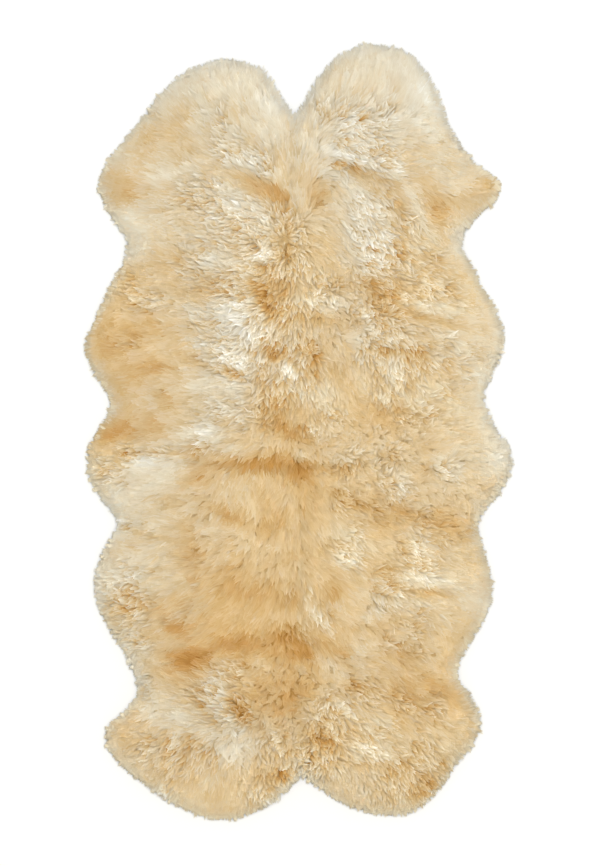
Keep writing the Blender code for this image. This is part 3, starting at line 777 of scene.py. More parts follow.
def finer_copy(pelt):
    """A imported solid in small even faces. Its base and its seams are creased."""
    shape = merged_copy(pelt)
    bmesh.ops.join_triangles(
        shape, faces=shape.faces, angle_face_threshold=0.7, angle_shape_threshold=0.7
    )
    crease = shape.edges.layers.float.new("crease_edge")
    places = np.array([tuple(vert.co) for vert in shape.verts])
    fixed = (distance_to_seams(places[:, 0], places[:, 1]) < 0.003) | (places[:, 2] < 0.0005)
    shape.verts.index_update()
    for edge in shape.edges:
        edge[crease] = float(all(fixed[vert.index] for vert in edge.verts))
    rough = add_object("rough_" + pelt, as_mesh(shape, "finer"))
    smoother = rough.modifiers.new("finer", "SUBSURF")
    smoother.levels = smoother.render_levels = SUBDIVISIONS
    fine = bpy.data.meshes.new_from_object(rough.evaluated_get(bpy.context.evaluated_depsgraph_get()))
    bpy.data.objects.remove(rough)
    return fine


def flat_under(mesh):
    """Makes the underside of a mesh one flat face with crisp edges."""
    shape = bmesh.new()
    shape.from_mesh(mesh)
    shape.normal_update()
    under = [face for face in shape.faces if face.normal.z < FACING_DOWN]
    bmesh.ops.dissolve_faces(shape, faces=under, use_verts=True)
    shape.normal_update()
    for face in shape.faces:
        face.smooth = face.normal.z > FACING_DOWN
    for edge in shape.edges:
        edge.smooth = all(face.smooth for face in edge.link_faces)
    shape.to_mesh(mesh)
    shape.free()


# %% Build the beds


def mesh_points(mesh):
    """The points of a mesh as rows of x, y and z."""
    found = np.empty(3 * len(mesh.vertices), np.float32)
    mesh.vertices.foreach_get("co", found)
    return found.reshape(-1, 3).astype(float)


def give_numbers(mesh, name, values):
    """Stores one number for each point of a mesh, for its material."""
    attribute = mesh.attributes.new(name, "FLOAT", "POINT")
    attribute.data.foreach_set("value", np.asarray(values, np.float32))


def make_bed(pelt):
    """The bed of underwool of a pelt."""
    mesh = finer_copy(pelt)
    flat_under(mesh)
    x, y, z = mesh_points(mesh).T
    distance = inside_rim(x, y)
    move = drawn_in(distance)
    x = x - move * read_grid(rim_x, x, y)
    y = y - move * read_grid(rim_y, x, y)
    share = BED_SHARE * (1 - RIM_LOWERED * np.exp(-distance / 0.012))
    lifted = BED_FLOOR + share * z + relief_at(x, y) * (z > 0.008)
    points = np.stack([x, y, np.where(z > 0.0005, lifted, BED_FLOOR)], -1)
    mesh.vertices.foreach_set("co", points.astype(np.float32).ravel())
    mesh.name = "underwool_" + pelt
    # a little darker than the wool above it: painted shade under the locks
    give_numbers(mesh, "shade", shade_at(x, y) - 0.08)
    give_numbers(mesh, "warmth", warmth_at(x, y))
    mesh.materials.clear()
    mesh.materials.append(underwool)
    piece = add_object("underwool_" + pelt, mesh)
    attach(piece, "root")
    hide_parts("pelt_" + pelt)
    mesh.calc_loop_triangles()
    print(piece.name, len(mesh.loop_triangles), "triangles")
    return piece


beds = {pelt: make_bed(pelt) for pelt in PELTS}

# %% [markdown]
# ## One lock of wool
# A lock is a bundle of fibres that is thin at the root, full in the middle and pointed at the tip.
# A cone of three sides with one cut is enough, because there are tens of thousands of them. The
# same pattern serves all: each copy is bent along its own path, as an array follows a curve.

# %% Steps of a pattern


def unit(vectors):
    """The vectors at length 1."""
    return vectors / np.maximum(np.linalg.norm(vectors, axis=-1, keepdims=True), 1e-12)


def facing_of(corners):
    """The way that each triangle faces, from its three corners."""
    first, second, third = (corners[..., number, :] for number in range(3))
    return unit(np.cross(second - first, third - first))


def cut_across(shape, height):
    """Cuts all faces of a shape at this height."""
    everything = shape.verts[:] + shape.edges[:] + shape.faces[:]
    bmesh.ops.bisect_plane(shape, geom=everything, plane_co=(0, 0, height), plane_no=(0, 0, 1))


def as_pattern(shape):
    """The points and the triangles of a shape."""
    bmesh.ops.triangulate(shape, faces=shape.faces)
    bmesh.ops.recalc_face_normals(shape, faces=shape.faces)
    points = np.array([tuple(vert.co) for vert in shape.verts])
    faces = np.array([[vert.index for vert in face.verts] for face in shape.faces])
    shape.free()
    return points, faces


def repeated(name, points, faces, material):
    """A smooth mesh of many copies of a pattern, from the points of each copy."""
    faces = faces[None] + (np.arange(len(points)) * points.shape[1])[:, None, None]
    mesh = bpy.data.meshes.new(name)
    mesh.from_pydata(points.reshape(-1, 3).tolist(), [], faces.reshape(-1, 3).tolist())
    mesh.shade_smooth()
    mesh.materials.append(material)
    return mesh


# %% The pattern of a lock
ROOT_WIDTH = 0.60
FULL_AT = 0.45


def lock_pattern():
    """A lock of length 1 and width 1 along z: its points and its triangles. Its ridge is at +y."""
    shape = bmesh.new()
    bmesh.ops.create_cone(
        shape, cap_ends=True, segments=3, radius1=0.5, radius2=0.0, depth=1.0
    )
    bmesh.ops.translate(shape, verts=shape.verts, vec=(0, 0, 0.5))
    bmesh.ops.remove_doubles(shape, verts=shape.verts, dist=0.0001)
    cut_across(shape, FULL_AT)
    for vert in shape.verts:
        flat = vert.co.xy.length
        if flat > 1e-6:
            vert.co.xy *= 0.5 * (1.0 if vert.co.z > FULL_AT / 2 else ROOT_WIDTH) / flat
    return as_pattern(shape)


pattern_points, pattern_faces = lock_pattern()
pattern_facing = facing_of(pattern_points[pattern_faces])
hidden_faces = (pattern_facing[:, 1] < -0.5) | (pattern_facing[:, 2] < -0.9)
print("a lock has", len(pattern_faces), "triangles,", hidden_faces.sum(), "of them underneath")

# %% [markdown]
# ## The card of wool colours
# A lock's colour depends on its shade, its warmth and the way along it. They are laid out on the UV
# map like samples on a dyer's card: each column is one shade and warmth, and up the column the wool
# goes from root to tip. The material only reads the map, and like locks share a place on it.

# %% Columns of the card
SHADES = 32
WARMTHS = 4
COLUMNS = SHADES * WARMTHS
# from root to tip each lock goes from honey to pale: partly the wool's own colour, partly painted golden
# shade down among the roots
OWN_SHADE_AT = 0.62
ROOT_TO_TIP = 0.75


def card_column(shade, warmth):
    """The card's column for each shade and warmth."""
    step = np.clip(np.round(np.asarray(shade) * (SHADES - 1)), 0, SHADES - 1)
    warm = np.clip(np.round(np.asarray(warmth) * (WARMTHS - 1)), 0, WARMTHS - 1)
    return (step * WARMTHS + warm).astype(int)


# %% The material of the locks


def lock_material():
    """Long wool: the card's colours from root to tip, honey roots partly painted shade, with the ridges
    of its fibres.
    """
    material, tree, shader = new_material("wool_locks", 0.92, 0.10)
    let_light_through(shader)
    card = tree.nodes.new("ShaderNodeUVMap")
    card.uv_map = "OFBake"
    split = tree.nodes.new("ShaderNodeSeparateXYZ")
    tree.links.new(card.outputs["UV"], split.inputs["Vector"])
    along = split.outputs["Y"]
    spread = maths(tree, "MULTIPLY", split.outputs["X"], COLUMNS)
    column = maths(tree, "FLOOR", spread)
    around = maths(tree, "FRACT", spread)
    step = maths(tree, "FLOOR", maths(tree, "DIVIDE", column, WARMTHS))
    shade = maths(tree, "DIVIDE", step, SHADES - 1)
    warm = maths(tree, "DIVIDE", maths(tree, "MODULO", column, WARMTHS), WARMTHS - 1)
    rise = maths(tree, "MULTIPLY_ADD", along, ROOT_TO_TIP, -OWN_SHADE_AT * ROOT_TO_TIP)
    stretch = tree.nodes.new("ShaderNodeCombineXYZ")
    tree.links.new(maths(tree, "MULTIPLY", around, 12.0), stretch.inputs["X"])
    tree.links.new(maths(tree, "MULTIPLY", along, 2.5), stretch.inputs["Y"])
    tree.links.new(column, stretch.inputs["Z"])
    fibres = noise(tree, stretch.outputs["Vector"], 1.0, 2)
    streak = maths(tree, "MULTIPLY_ADD", fibres, 0.20, -0.10)
    total = maths(tree, "ADD", maths(tree, "ADD", shade, rise), streak, limited=True)
    colour_as_wool(tree, shader, total, warm)
    roughen(tree, shader, fibres, 0.25, 0.001)
    return material


wool = lock_material()

# %% [markdown]
# ## Laying many locks
# For each lock, arrays hold its root, its way, length, width and lift. All paths are worked out at
# once with arrays, then the pattern's points are carried along them. The paths follow the bed's
# height, so a lock lies on the one below as hair does, and its tip never drops under the floor.

# %% Carry the pattern along every path
FLOOR_GAP = 0.0012


def lock_points(locks, chance):
    """The points of all locks, and for each the way that the wool's surface faces there."""
    steps, place_of = np.unique(np.round(pattern_points[:, 2], 4), return_inverse=True)
    s = steps[None, :]
    at = {key: values[:, None] for key, values in locks.items()}
    bend = at["bend"] * np.sin(math.pi * (1.4 * s + at["phase"])) * s
    x = at["x"] + at["way_x"] * at["length"] * s - at["way_y"] * bend + at["pull_x"] * s**2
    y = at["y"] + at["way_y"] * at["length"] * s + at["way_x"] * bend + at["pull_y"] * s**2
    rise = at["root_lift"] + (at["tip_lift"] - at["root_lift"]) * s**0.7 + at["arch"] * 4 * s * (1 - s)
    z = np.maximum(read_grid(path_heights, x, y) + rise, FLOOR_GAP + at["thick"] * 0.5 * (1 - s))
    centre = np.stack([x, y, z], -1)
    tangent = unit(np.gradient(centre, axis=1))
    side = unit(np.cross((0, 0, 1.0), tangent))
    above = np.cross(tangent, side)
    turn = chance.uniform(-0.35, 0.35, len(locks["x"]))[:, None, None]
    side, above = side * np.cos(turn) + above * np.sin(turn), above * np.cos(turn) - side * np.sin(turn)
    side, above = side[:, place_of], above[:, place_of]
    across, up, _ = pattern_points.T[:, None, :, None]
    points = centre[:, place_of] + side * (across * at["width"][..., None])
    points = points + above * (up * at["thick"][..., None])
    points[..., 2] = np.maximum(points[..., 2], 0.0003)
    size = np.maximum(np.hypot(across, up), 1e-6)
    return points, unit(side * (across / size) + above * np.clip(up / size, 0.3, 1))


def lock_mesh(name, locks, chance):
    """One mesh of all the locks. Each lock's values are in the arrays of the dict."""
    points, own_facing = lock_points(locks, chance)
    mesh = repeated(name, points, pattern_faces, wool)
    lay_on_card(mesh, locks)
    face_with_the_bed(mesh, points, own_facing, locks["roundness"])
    return mesh


# %% [markdown]
# ## Soft light on hard triangles
# A lock has only three sides, and light would show each of them as a dark stroke. A real lock is
# soft, and it shades much like the pile that it lies in. So each corner of a face is told to face
# as the bed below it does, with a little of the lock's own roundness. Faces that look down into the
# pile are turned a little up, because light also comes through the lock from above.

# %% Lend the locks the bed's facing
slope_y, slope_x = np.gradient(softened(path_heights, 8), CELL)
STEEPNESS = 0.60
RIM_CALM = 0.06
LIGHT_FROM_ABOVE = 0.7
LEAST_AGREEMENT = 0.15


def surface_facing(x, y):
    """The way that the softened bed faces at these places."""
    run_x, run_y = read_grid(slope_x, x, y), read_grid(slope_y, x, y)
    steepness = STEEPNESS * np.clip(read_grid(rim_distance, x, y) / RIM_CALM, 0.12, 1)
    return unit(np.stack([-steepness * run_x, -steepness * run_y, np.ones_like(run_x)], -1))


def crisp_edges(mesh):
    """Keeps the edges crisp where a lock's top meets its hidden faces."""
    crisp = np.zeros((len(pattern_points), len(pattern_points)), bool)
    for face in pattern_faces[hidden_faces]:
        for a, b in zip(face, np.roll(face, -1)):
            crisp[a, b] = ~crisp[a, b] & ~crisp[b, a]
            crisp[b, a] = crisp[a, b]
    ends = np.empty(2 * len(mesh.edges), np.int32)
    mesh.edges.foreach_get("vertices", ends)
    ends = ends.reshape(-1, 2) % len(pattern_points)
    attribute = mesh.attributes.new("sharp_edge", "BOOLEAN", "EDGE")
    attribute.data.foreach_set("value", crisp[ends[:, 0], ends[:, 1]])


def face_with_the_bed(mesh, points, own_facing, roundness):
    """Stores the facing at each corner of the mesh's faces, where it agrees with the face."""
    flat = facing_of(points[:, pattern_faces])
    share = roundness[:, None, None]
    facing = unit(surface_facing(points[..., 0], points[..., 1]) * (1 - share) + own_facing * share)
    agreement = np.ones(facing.shape[:2])
    for number in np.flatnonzero(~hidden_faces):
        face = pattern_faces[number]
        dots = np.einsum("lk,lpk->lp", flat[:, number], facing[:, face])
        agreement[:, face] = np.minimum(agreement[:, face], dots)
    facing = np.where((agreement < LEAST_AGREEMENT)[..., None], own_facing, facing)
    below = unit(flat + (0, 0, LIGHT_FROM_ABOVE))
    stored = np.where(hidden_faces[None, :, None, None], below[:, :, None, :], facing[:, pattern_faces])
    crisp_edges(mesh)
    attribute = mesh.attributes.new("custom_normal", "FLOAT_VECTOR", "CORNER")
    attribute.data.foreach_set("vector", stored.astype(np.float32).ravel())


# %% Give the locks their columns of the card


def lay_on_card(mesh, locks):
    """Lays each lock in its column: u goes round the lock, and v from root to tip."""
    angle = np.arctan2(pattern_points[:, 1], pattern_points[:, 0]) / math.tau + 0.5
    corner_u = angle[pattern_faces]
    corner_v = pattern_points[:, 2][pattern_faces]
    tip = corner_v > 0.999
    wrapped = (corner_u.max(1) - corner_u.min(1) > 0.5)[:, None]
    corner_u = np.where(wrapped & (corner_u < 0.5), corner_u + 1, corner_u)
    mean_u = (corner_u * ~tip).sum(1) / np.maximum((~tip).sum(1), 1)
    corner_u = np.where(tip, mean_u[:, None], corner_u)
    corner_u = 0.06 + 0.88 * np.clip(corner_u / 1.34, 0, 1)
    column = locks["card"][:, None, None]
    contrast = locks["contrast"][:, None, None]
    u = (column + corner_u[None]) / COLUMNS
    v = OWN_SHADE_AT + (0.005 + 0.99 * corner_v[None] - OWN_SHADE_AT) * contrast
    layer = mesh.uv_layers.new(name="OFBake")
    both = np.stack([u, np.broadcast_to(v, u.shape)], -1)
    layer.uv.foreach_set("vector", both.astype(np.float32).ravel())


# %% [markdown]
# ## Combed wool and open locks
# Most of the rug is combed smooth: broad locks lie so close that only their direction shows. In
# the opened places the wool parts into thin wavy locks, with pale tips over honey roots; the honey
# of the roots is partly painted golden shade in the gaps between the locks. So there are two
# layings, one of broad flat locks everywhere and one of thin locks in the openings.

# %% Where the roots are
BROAD_SPACING = 0.0064
THIN_SPACING = 0.0056
CLUMP_SPACING = 0.016


def uneven_grid(low, high, spacing, chance):
    """Places on a staggered grid, each moved at random by under half the spacing."""
    rows = np.arange(low[1], high[1], spacing * 0.866)
    columns = np.arange(low[0], high[0], spacing)
    x, y = np.meshgrid(columns, rows)
    x = x + (np.arange(len(rows)) % 2)[:, None] * spacing / 2
    moved = chance.uniform(-0.42, 0.42, (2, *x.shape)) * spacing
    return (x + moved[0]).ravel(), (y + moved[1]).ravel()


chance = np.random.default_rng(7)
clump_x, clump_y = uneven_grid(cad_low, cad_high, CLUMP_SPACING, chance)
clump_turn = chance.normal(0, 1, len(clump_x))
clump_shade = chance.normal(0, 1, len(clump_x))
clump_tree = tree_of(list(zip(clump_x, clump_y)))
print(len(clump_x), "clumps")


def nearest_clump(x, y):
    """The number of the clump that each place belongs to."""
    return np.array([clump_tree.find((a, b, 0))[1] for a, b in zip(x, y)])


# %% Which skin a place is on


def centre_seam(y, end):
    """The x of the centre seam at each y, on the half that has this end."""
    run = np.array(SEAM_ENDS[end]) - CROSSING
    return CROSSING[0] + run[0] * (y - CROSSING[1]) / run[1]


def skin_at(x, y):
    """The name of the skin for each place: the seams divide them."""
    lower = y <= CROSSING[1]
    right = x > np.where(lower, centre_seam(y, "bottom"), centre_seam(y, "top"))
    return np.array(PELTS)[2 * lower + right]


# %% What both layings share


def turned(way_x, way_y, turn):
    """The ways turned by so many radians each."""
    cosine, sine = np.cos(turn), np.sin(turn)
    return way_x * cosine - way_y * sine, way_x * sine + way_y * cosine


def reach_over_the_rim(x, y):
    """How far the tips reach over the rim at these places of it: every 12 mm or so is a tooth."""
    return 0.0022 + 0.0050 * ripple(x, y, 0.012, 32)


def short_of_the_rim(length, x, y, way_x, way_y, distance, chance):
    """The lengths, cut where a lock would reach far over the rim. The tips there make teeth."""
    outward = np.maximum(way_x * read_grid(rim_x, x, y) + way_y * read_grid(rim_y, x, y), 0.25)
    path = distance / outward
    reach = reach_over_the_rim(x + way_x * path, y + way_y * path) + chance.normal(0, 0.0018, len(x))
    return np.minimum(length, np.maximum(0.014, path + reach / outward))


# %% Broad locks of the combed wool
BROAD_LENGTH = 0.044
BROAD_WIDTH = 0.0105


def combed_locks(x, y, opened, chance):
    """All values of the broad locks whose roots are at these places."""
    count = len(x)
    clump = nearest_clump(x, y)
    distance = read_grid(rim_distance, x, y)
    inner = np.clip(distance / 0.06, 0.25, 1)
    turn = 0.10 * clump_turn[clump] + chance.normal(0, 0.11, count) + 0.20 * ripple(x, y, 0.09, 22)
    way_x, way_y, sure = combed_way(x, y)
    turn = turn * inner + (1 - sure) * (0.7 * clump_turn[clump] + 0.3 * chance.normal(0, 1, count))
    way_x, way_y = turned(way_x, way_y, turn)
    length = BROAD_LENGTH * chance.uniform(0.8, 1.2, count) * (0.4 + 0.6 * sure)
    length = short_of_the_rim(length, x, y, way_x, way_y, distance, chance)
    width = BROAD_WIDTH * chance.uniform(0.75, 1.25, count)
    ahead = np.minimum(0.024, 0.55 * length)
    shade = shade_at(x + way_x * ahead, y + way_y * ahead)
    shade = shade + 0.012 * clump_shade[clump] + chance.normal(0, 0.008, count)
    return {
        "x": x, "y": y, "way_x": way_x, "way_y": way_y, "length": length, "width": width,
        "thick": width * 0.12,
        "bend": length * chance.normal(0, 0.07, count),
        "phase": chance.uniform(0, 1, count),
        "pull_x": 0, "pull_y": 0,
        "root_lift": -0.0015,
        "tip_lift": (0.0028 + chance.normal(0, 0.0003, count)) * np.clip(distance / 0.03, 0.35, 1),
        "arch": 0.0010 * chance.uniform(0.4, 1.2, count) * np.clip(distance / 0.03, 0.4, 1),
        "card": card_column(shade, warmth_at(x, y) + chance.normal(0, 0.10, count)),
        # near the rim the contrast rises, so the tips there are painted paler with the rim's painted
        # light
        "contrast": np.clip(0.10 + 0.25 * opened + 0.35 * np.exp(-distance / 0.025), 0, 1),
        "roundness": 0.06,
    }


# %% Thin locks of the openings
THIN_LENGTHS = (0.022, 0.040)
THIN_WIDTH = 0.0076
CLUMP_AHEAD = 0.022
FARTHEST_PULL = 0.015


def open_locks(x, y, opened, chance):
    """All values of the thin locks whose roots are at these places."""
    count = len(x)
    clump = nearest_clump(x, y)
    distance = read_grid(rim_distance, x, y)
    inner = np.clip(distance / 0.06, 0.3, 1)
    turn = 0.34 * clump_turn[clump] * opened + chance.normal(0, 1, count) * (0.06 + 0.08 * opened)
    way_x, way_y, sure = combed_way(x, y)
    turn = (turn + 0.25 * ripple(x, y, 0.06, 23)) * inner
    turn = turn + (1 - sure) * (0.8 * clump_turn[clump] + 0.4 * chance.normal(0, 1, count))
    way_x, way_y = turned(way_x, way_y, turn)
    length = chance.uniform(*THIN_LENGTHS, count) * (0.4 + 0.6 * sure)
    length = short_of_the_rim(length, x, y, way_x, way_y, distance, chance)
    width = THIN_WIDTH * chance.uniform(0.55, 1.45, count)
    pull = 0.5 * opened * inner
    pull_x = clump_x[clump] + way_x * CLUMP_AHEAD - x - way_x * length
    pull_y = clump_y[clump] + way_y * CLUMP_AHEAD - y - way_y * length
    tip_lift = 0.0052 + 0.0020 * opened * chance.normal(0.3, 1, count)
    ahead = np.minimum(0.016, 0.55 * length)
    shade = shade_at(x + way_x * ahead, y + way_y * ahead)
    shade = shade + 0.05 + 0.09 * opened * clump_shade[clump]
    shade = shade + chance.normal(0, 1, count) * (0.02 + 0.04 * opened)
    return {
        "x": x, "y": y, "way_x": way_x, "way_y": way_y, "length": length, "width": width,
        "thick": width * 0.24,
        "bend": length * chance.normal(0, 0.14, count),
        "phase": chance.uniform(0, 1, count),
        "pull_x": pull * np.clip(pull_x, -FARTHEST_PULL, FARTHEST_PULL),
        "pull_y": pull * np.clip(pull_y, -FARTHEST_PULL, FARTHEST_PULL),
        "root_lift": 0.0005,
        "tip_lift": np.clip(tip_lift, 0.0035, 0.011) * np.clip(distance / 0.03, 0.4, 1),
        "arch": (0.0012 + 0.0022 * chance.uniform(0, 1, count)) * np.clip(distance / 0.03, 0.4, 1),
        "card": card_column(shade, warmth_at(x, y) + chance.normal(0, 0.12, count)),
        "contrast": np.clip(0.20 + 0.75 * opened, 0, 1),
        "roundness": 0.12 + 0.16 * opened,
    }


# %% Lay both on every skin


def openings_at(x, y):
    """How far the wool is open at these places, with an uneven edge."""
    return np.clip(openness_at(x, y) + 0.16 * ripple(x, y, 0.050, 21), 0, 1)


def show_wool(name, locks, chance):
    """A piece of wool from the values of its locks. A value can be one number for all of them."""
    count = len(locks["x"])
    locks = {key: np.broadcast_to(values, count) for key, values in locks.items()}
    piece = add_object(name, lock_mesh(name, locks, chance))
    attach(piece, "root")
    print(name, count, "locks,", count * len(pattern_faces), "triangles")
    return piece


def lay_wool(kind, values, spacing, share_kept, seed):
    """Lays one kind of lock on every skin, where the share to keep says so."""
    chance = np.random.default_rng(seed)
    x, y = uneven_grid(cad_low, cad_high, spacing, chance)
    inside = read_grid(rim_distance, x, y) > RIM_DRAW_IN + 0.001
    x, y = x[inside], y[inside]
    opened = openings_at(x, y)
    keep = chance.uniform(0, 1, len(x)) < share_kept(opened)
    x, y, opened = x[keep], y[keep], opened[keep]
    skin = skin_at(x, y)
    pieces = {}
    for pelt in PELTS:
        mine = skin == pelt
        locks = values(x[mine], y[mine], opened[mine], chance)
        pieces[pelt] = show_wool(kind + "_" + pelt, locks, chance)
    return pieces


combed = lay_wool("combed_wool", combed_locks, BROAD_SPACING, lambda opened: 1.15 - 0.7 * opened, 100)
opened_up = lay_wool("open_locks", open_locks, THIN_SPACING, lambda opened: (opened - 0.20) * 1.7, 200)

# %% [markdown]
# ## The fringe
# Round the rim the locks point outwards and hang down to the floor. Seen from above they make the
# soft, finely toothed edge of the rug. They stand in rows, one over the other, along the rim, and
# about twenty of them draw together into each tooth.

# %% Lay the fringe
FRINGE_ROWS = 4
TOOTH_STEP = 5
OUTWARD_SHARE = 0.45
FRINGE_WIDTHS = (0.0028, 0.0050)
FRINGE_PULL = 0.006
PALEST_FRINGE = 0.79


def fringe_locks(pelt, chance):
    """The values of the locks along the rim of a pelt."""
    x, y = np.repeat(rims[pelt], FRINGE_ROWS, axis=0).T
    count = len(x)
    teeth = rims[pelt][::TOOTH_STEP] + chance.normal(0, 0.0010, rims[pelt][::TOOTH_STEP].shape)
    tooth = np.hypot(x[:, None] - teeth[:, 0], y[:, None] - teeth[:, 1]).argmin(1)
    tooth_x, tooth_y = teeth[tooth].T
    reach = reach_over_the_rim(tooth_x, tooth_y)
    out_x, out_y = read_grid(rim_x, x, y), read_grid(rim_y, x, y)
    size = np.maximum(np.hypot(out_x, out_y), 0.2)
    out_x, out_y = out_x / size, out_y / size
    way_x, way_y, _ = combed_way(x - 0.012 * out_x, y - 0.012 * out_y)
    way_x = OUTWARD_SHARE * out_x + (1 - OUTWARD_SHARE) * way_x
    way_y = OUTWARD_SHARE * out_y + (1 - OUTWARD_SHARE) * way_y
    way_x, way_y = turned(way_x, way_y, 0.08 * chance.normal(0, 1, count) + 0.2 * ripple(x, y, 0.05, 31))
    size = np.hypot(way_x, way_y)
    way_x, way_y = way_x / size, way_y / size
    back = chance.uniform(0.012, 0.024, count)
    target_x, target_y = tooth_x + way_x * reach, tooth_y + way_y * reach
    x, y = x - way_x * back, y - way_y * back
    length = back + reach + chance.normal(0.0, 0.0016, count)
    width = chance.uniform(*FRINGE_WIDTHS, count)
    shade = shade_at(target_x - 0.006 * way_x, target_y - 0.006 * way_y) + chance.normal(0, 0.03, count)
    return {
        "x": x, "y": y, "way_x": way_x, "way_y": way_y, "length": length, "width": width,
        "thick": width * 0.4,
        "bend": length * chance.normal(0, 0.05, count), "phase": chance.uniform(0, 1, count),
        "pull_x": 0.5 * np.clip(target_x - x - way_x * length, -FRINGE_PULL, FRINGE_PULL),
        "pull_y": 0.5 * np.clip(target_y - y - way_y * length, -FRINGE_PULL, FRINGE_PULL),
        "root_lift": chance.uniform(-0.004, 0.001, count),
        "tip_lift": chance.uniform(0.0005, 0.004, count),
        "arch": chance.uniform(0.0010, 0.0045, count),
        # the fringe takes the rim's painted light, capped so that uncovered tips don't shine out, and is
        # painted warmer so that it isn't grey in its shade
        "card": card_column(
            np.minimum(shade, PALEST_FRINGE), warmth_at(x, y) + chance.normal(0.25, 0.10, count)
        ),
        "contrast": 0.35,
        "roundness": 0.08,
    }


for number, pelt in enumerate(PELTS):
    chance = np.random.default_rng(300 + number)
    show_wool("fringe_" + pelt, fringe_locks(pelt, chance), chance)

# %% [markdown]
# ## The hides
# Underneath, each skin shows its hide: tanned suede, about 2 mm thick. It is cut back from the tips
# of the wool, and at the seams it is pared thinner, so that the stitches don't stand out. The shape
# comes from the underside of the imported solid: dissolved to one face, drawn in at the rim, inset
# for the pared edge and extruded to its thickness.

# %% The material of the hide
SUEDE = (
    (0.34, (0.52, 0.38, 0.23)),
    (0.52, (0.62, 0.48, 0.31)),
    (0.70, (0.70, 0.57, 0.40)),
)


def hide_material():
    """Suede: a short velvety nap with fine grain, darker in patches where the skin was thicker."""
    material, tree, shader = new_material("suede_hide", 0.92, 0.35)
    place = object_place(tree)
    patches = noise(tree, place, 9, 4)
    grain = noise(tree, place, 420, 3)
    blend = maths(tree, "MULTIPLY_ADD", grain, 0.22, maths(tree, "MULTIPLY", patches, 0.80))
    colour_by_ramp(tree, shader, blend, SUEDE)
    roughen(tree, shader, grain, 0.4, 0.0004)
    return material


suede = hide_material()

# %% Cut the hides
HIDE_THICKNESS = 0.0020
HIDE_BACK = 0.022
PARED_WIDTH = 0.007
PARED_LIFT = 0.0012


def hide_outline(pelt):
    """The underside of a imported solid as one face, drawn in from the rim."""
    shape = merged_copy(pelt)
    others = [face for face in shape.faces if face.normal.z > FACING_DOWN]
    bmesh.ops.delete(shape, geom=others, context="FACES")
    bmesh.ops.dissolve_faces(shape, faces=shape.faces[:])
    for vert in shape.verts:
        x, y = np.array([vert.co.x]), np.array([vert.co.y])
        share = min(1.0, float(distance_to_seams(x, y)[0]) / HIDE_BACK)
        vert.co.x -= HIDE_BACK * share * float(read_grid(rim_x, x, y)[0])
        vert.co.y -= HIDE_BACK * share * float(read_grid(rim_y, x, y)[0])
        vert.co.z = 0.0
    return shape


def make_hide(pelt):
    """The hide of a pelt: a thin sheet of suede with pared edges."""
    shape = hide_outline(pelt)
    edge = shape.verts[:]
    bmesh.ops.inset_region(
        shape, faces=shape.faces[:], thickness=PARED_WIDTH, use_boundary=True, use_even_offset=True
    )
    for vert in edge:
        vert.co.z = PARED_LIFT
    raised = bmesh.ops.extrude_face_region(shape, geom=shape.faces[:])["geom"]
    for item in raised:
        if isinstance(item, bmesh.types.BMVert):
            item.co.z = HIDE_THICKNESS
    bmesh.ops.recalc_face_normals(shape, faces=shape.faces[:])
    area = sum(face.calc_area() for face in shape.faces if face.normal.z > 0.9)
    mesh = as_mesh(shape, "hide_" + pelt)
    mesh.materials.append(suede)
    piece = add_object("hide_" + pelt, mesh)
    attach(piece, "root")
    print(piece.name, "area", round(area, 3), "m2")
    return piece, area


for pelt in PELTS:
    hide, area = make_hide(pelt)
    points = mesh_points(hide.data)

# %% [markdown]
# ## The furrier's seam
# A furrier joins skins from the back with an overcast stitch, a thread that goes over both edges
# again and again. One stitch is a short bent tube. It is repeated along each seam with arrays.

# %% The thread
STITCH_STEP = 0.006
STITCH_REACH = 0.0026
STITCH_LEAN = 0.55
STITCH_HEIGHT = 0.00082
STITCH_RISE = 0.00055
THREAD_RADIUS = 0.00036


def thread_material():
    """Waxed thread of two plies, light brown."""
    material, tree, shader = new_material("seam_thread", 0.6, 0.15)
    twist = tree.nodes.new("ShaderNodeTexWave")
    twist.inputs["Scale"].default_value = 700
    twist.bands_direction = "DIAGONAL"
    tree.links.new(object_place(tree), twist.inputs["Vector"])
    light_brown = ((0.0, (0.40, 0.28, 0.15)), (1.0, (0.66, 0.52, 0.33)))
    colour_by_ramp(tree, shader, twist.outputs["Fac"], light_brown)
    return material


thread = thread_material()

# %% Sew the seams


def stitch_pattern():
    """One stitch along z, of length 1 and radius 1: its points and its triangles."""
    shape = bmesh.new()
    bmesh.ops.create_cone(
        shape, cap_ends=True, cap_tris=True, segments=4, radius1=1.0, radius2=1.0, depth=1.0
    )
    cut_across(shape, -0.25)
    cut_across(shape, 0.25)
    return as_pattern(shape)


def sew(name, end, chance):
    """The stitches from the crossing of the seams to this end."""
    points, faces = stitch_pattern()
    start, run = np.array(CROSSING), np.array(end) - CROSSING
    reach = np.linalg.norm(run)
    run = run / reach
    across = np.array((-run[1], run[0]))
    along = np.arange(STITCH_STEP, reach - HIDE_BACK - 0.004, STITCH_STEP)
    along = along + chance.normal(0, 0.0003, len(along))
    s = points[:, 2][None, :]
    lean = STITCH_LEAN + chance.normal(0, 0.06, len(along))[:, None]
    sideways = 2 * STITCH_REACH * s
    forward = along[:, None] + lean * sideways + THREAD_RADIUS * points[:, 0][None]
    flat = start + run * forward[..., None] + across * sideways[..., None]
    z = STITCH_HEIGHT + STITCH_RISE * (np.abs(s) > 0.4) + THREAD_RADIUS * points[:, 1][None]
    copies = np.concatenate([flat, np.broadcast_to(z, forward.shape)[..., None]], -1)
    piece = add_object(name, repeated(name, copies, faces, thread))
    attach(piece, "root")
    print(name, len(along), "stitches")


chance = np.random.default_rng(400)
for side, end in SEAM_ENDS.items():
    sew("seam_stitches_" + side, end, chance)

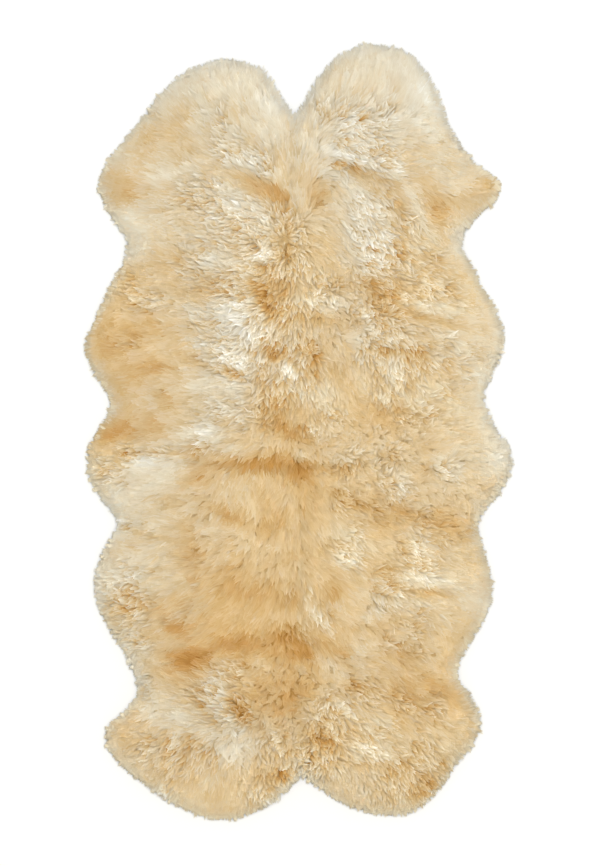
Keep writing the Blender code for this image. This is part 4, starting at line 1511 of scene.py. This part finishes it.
# %% [markdown]
# ## Floor, light and camera
# The photograph is a plain plan view on white. So the floor is near white, a wide soft light hangs
# far off over the heads, and the camera looks straight down from far off. The room's own light is
# warmer than the lamp, so the shadows in the wool are golden, as they are in the photograph.

# %% Floor
FLOOR_RADIUS = 14
FLOOR_COLOUR = (0.98, 0.97, 0.93, 1)

floor_shape = bmesh.new()
bmesh.ops.create_circle(floor_shape, cap_ends=True, segments=64, radius=FLOOR_RADIUS)
floor = add_object("floor", as_mesh(floor_shape, "floor"))
floor_material, _, floor_shader = new_material("floor", 0.9, 0.0)
floor_shader.inputs["Base Color"].default_value = FLOOR_COLOUR
floor.data.materials.append(floor_material)

# %% Light
ROOM_COLOUR = (1, 0.94, 0.82, 1)
ROOM_STRENGTH = 0.80
LAMP_COLOUR = (0.90, 1.02, 1.26)
LAMP_PLACE = (1.3, 3.0, 9.8)
LAMP_SIZE = 5.0
LAMP_POWER = 460

world = bpy.data.worlds.new("studio")
bpy.context.scene.world = world
world.use_nodes = True
world.node_tree.nodes["Background"].inputs["Color"].default_value = ROOM_COLOUR
world.node_tree.nodes["Background"].inputs["Strength"].default_value = ROOM_STRENGTH

lamp_data = bpy.data.lights.new("key_light", "AREA")
lamp_data.size = LAMP_SIZE
lamp_data.energy = LAMP_POWER
lamp_data.color = LAMP_COLOUR
lamp = add_object("key_light", lamp_data)
lamp.location = LAMP_PLACE
lamp.rotation_euler = (-Vector(LAMP_PLACE)).to_track_quat("-Z", "Y").to_euler()
bpy.context.scene.view_settings.view_transform = "Standard"

# %% Camera
LENS = 135.0
SENSOR = 36.0
PHOTO_SIZE = (600, 866)
WOOL_LEVEL = 0.015

camera_data = bpy.data.cameras.new("camera")
camera_data.lens = LENS
camera_data.sensor_width = SENSOR
camera_data.clip_end = 100
camera = add_object("camera", camera_data)
aim_x, aim_y = to_metres(PHOTO_SIZE[0] / 2, PHOTO_SIZE[1] / 2)
camera.location = (aim_x, aim_y, WOOL_LEVEL + LENS / SENSOR * PHOTO_SIZE[1] * PIXEL)
bpy.context.scene.camera = camera
print("the camera hangs", round(camera.location.z, 2), "m over the floor")
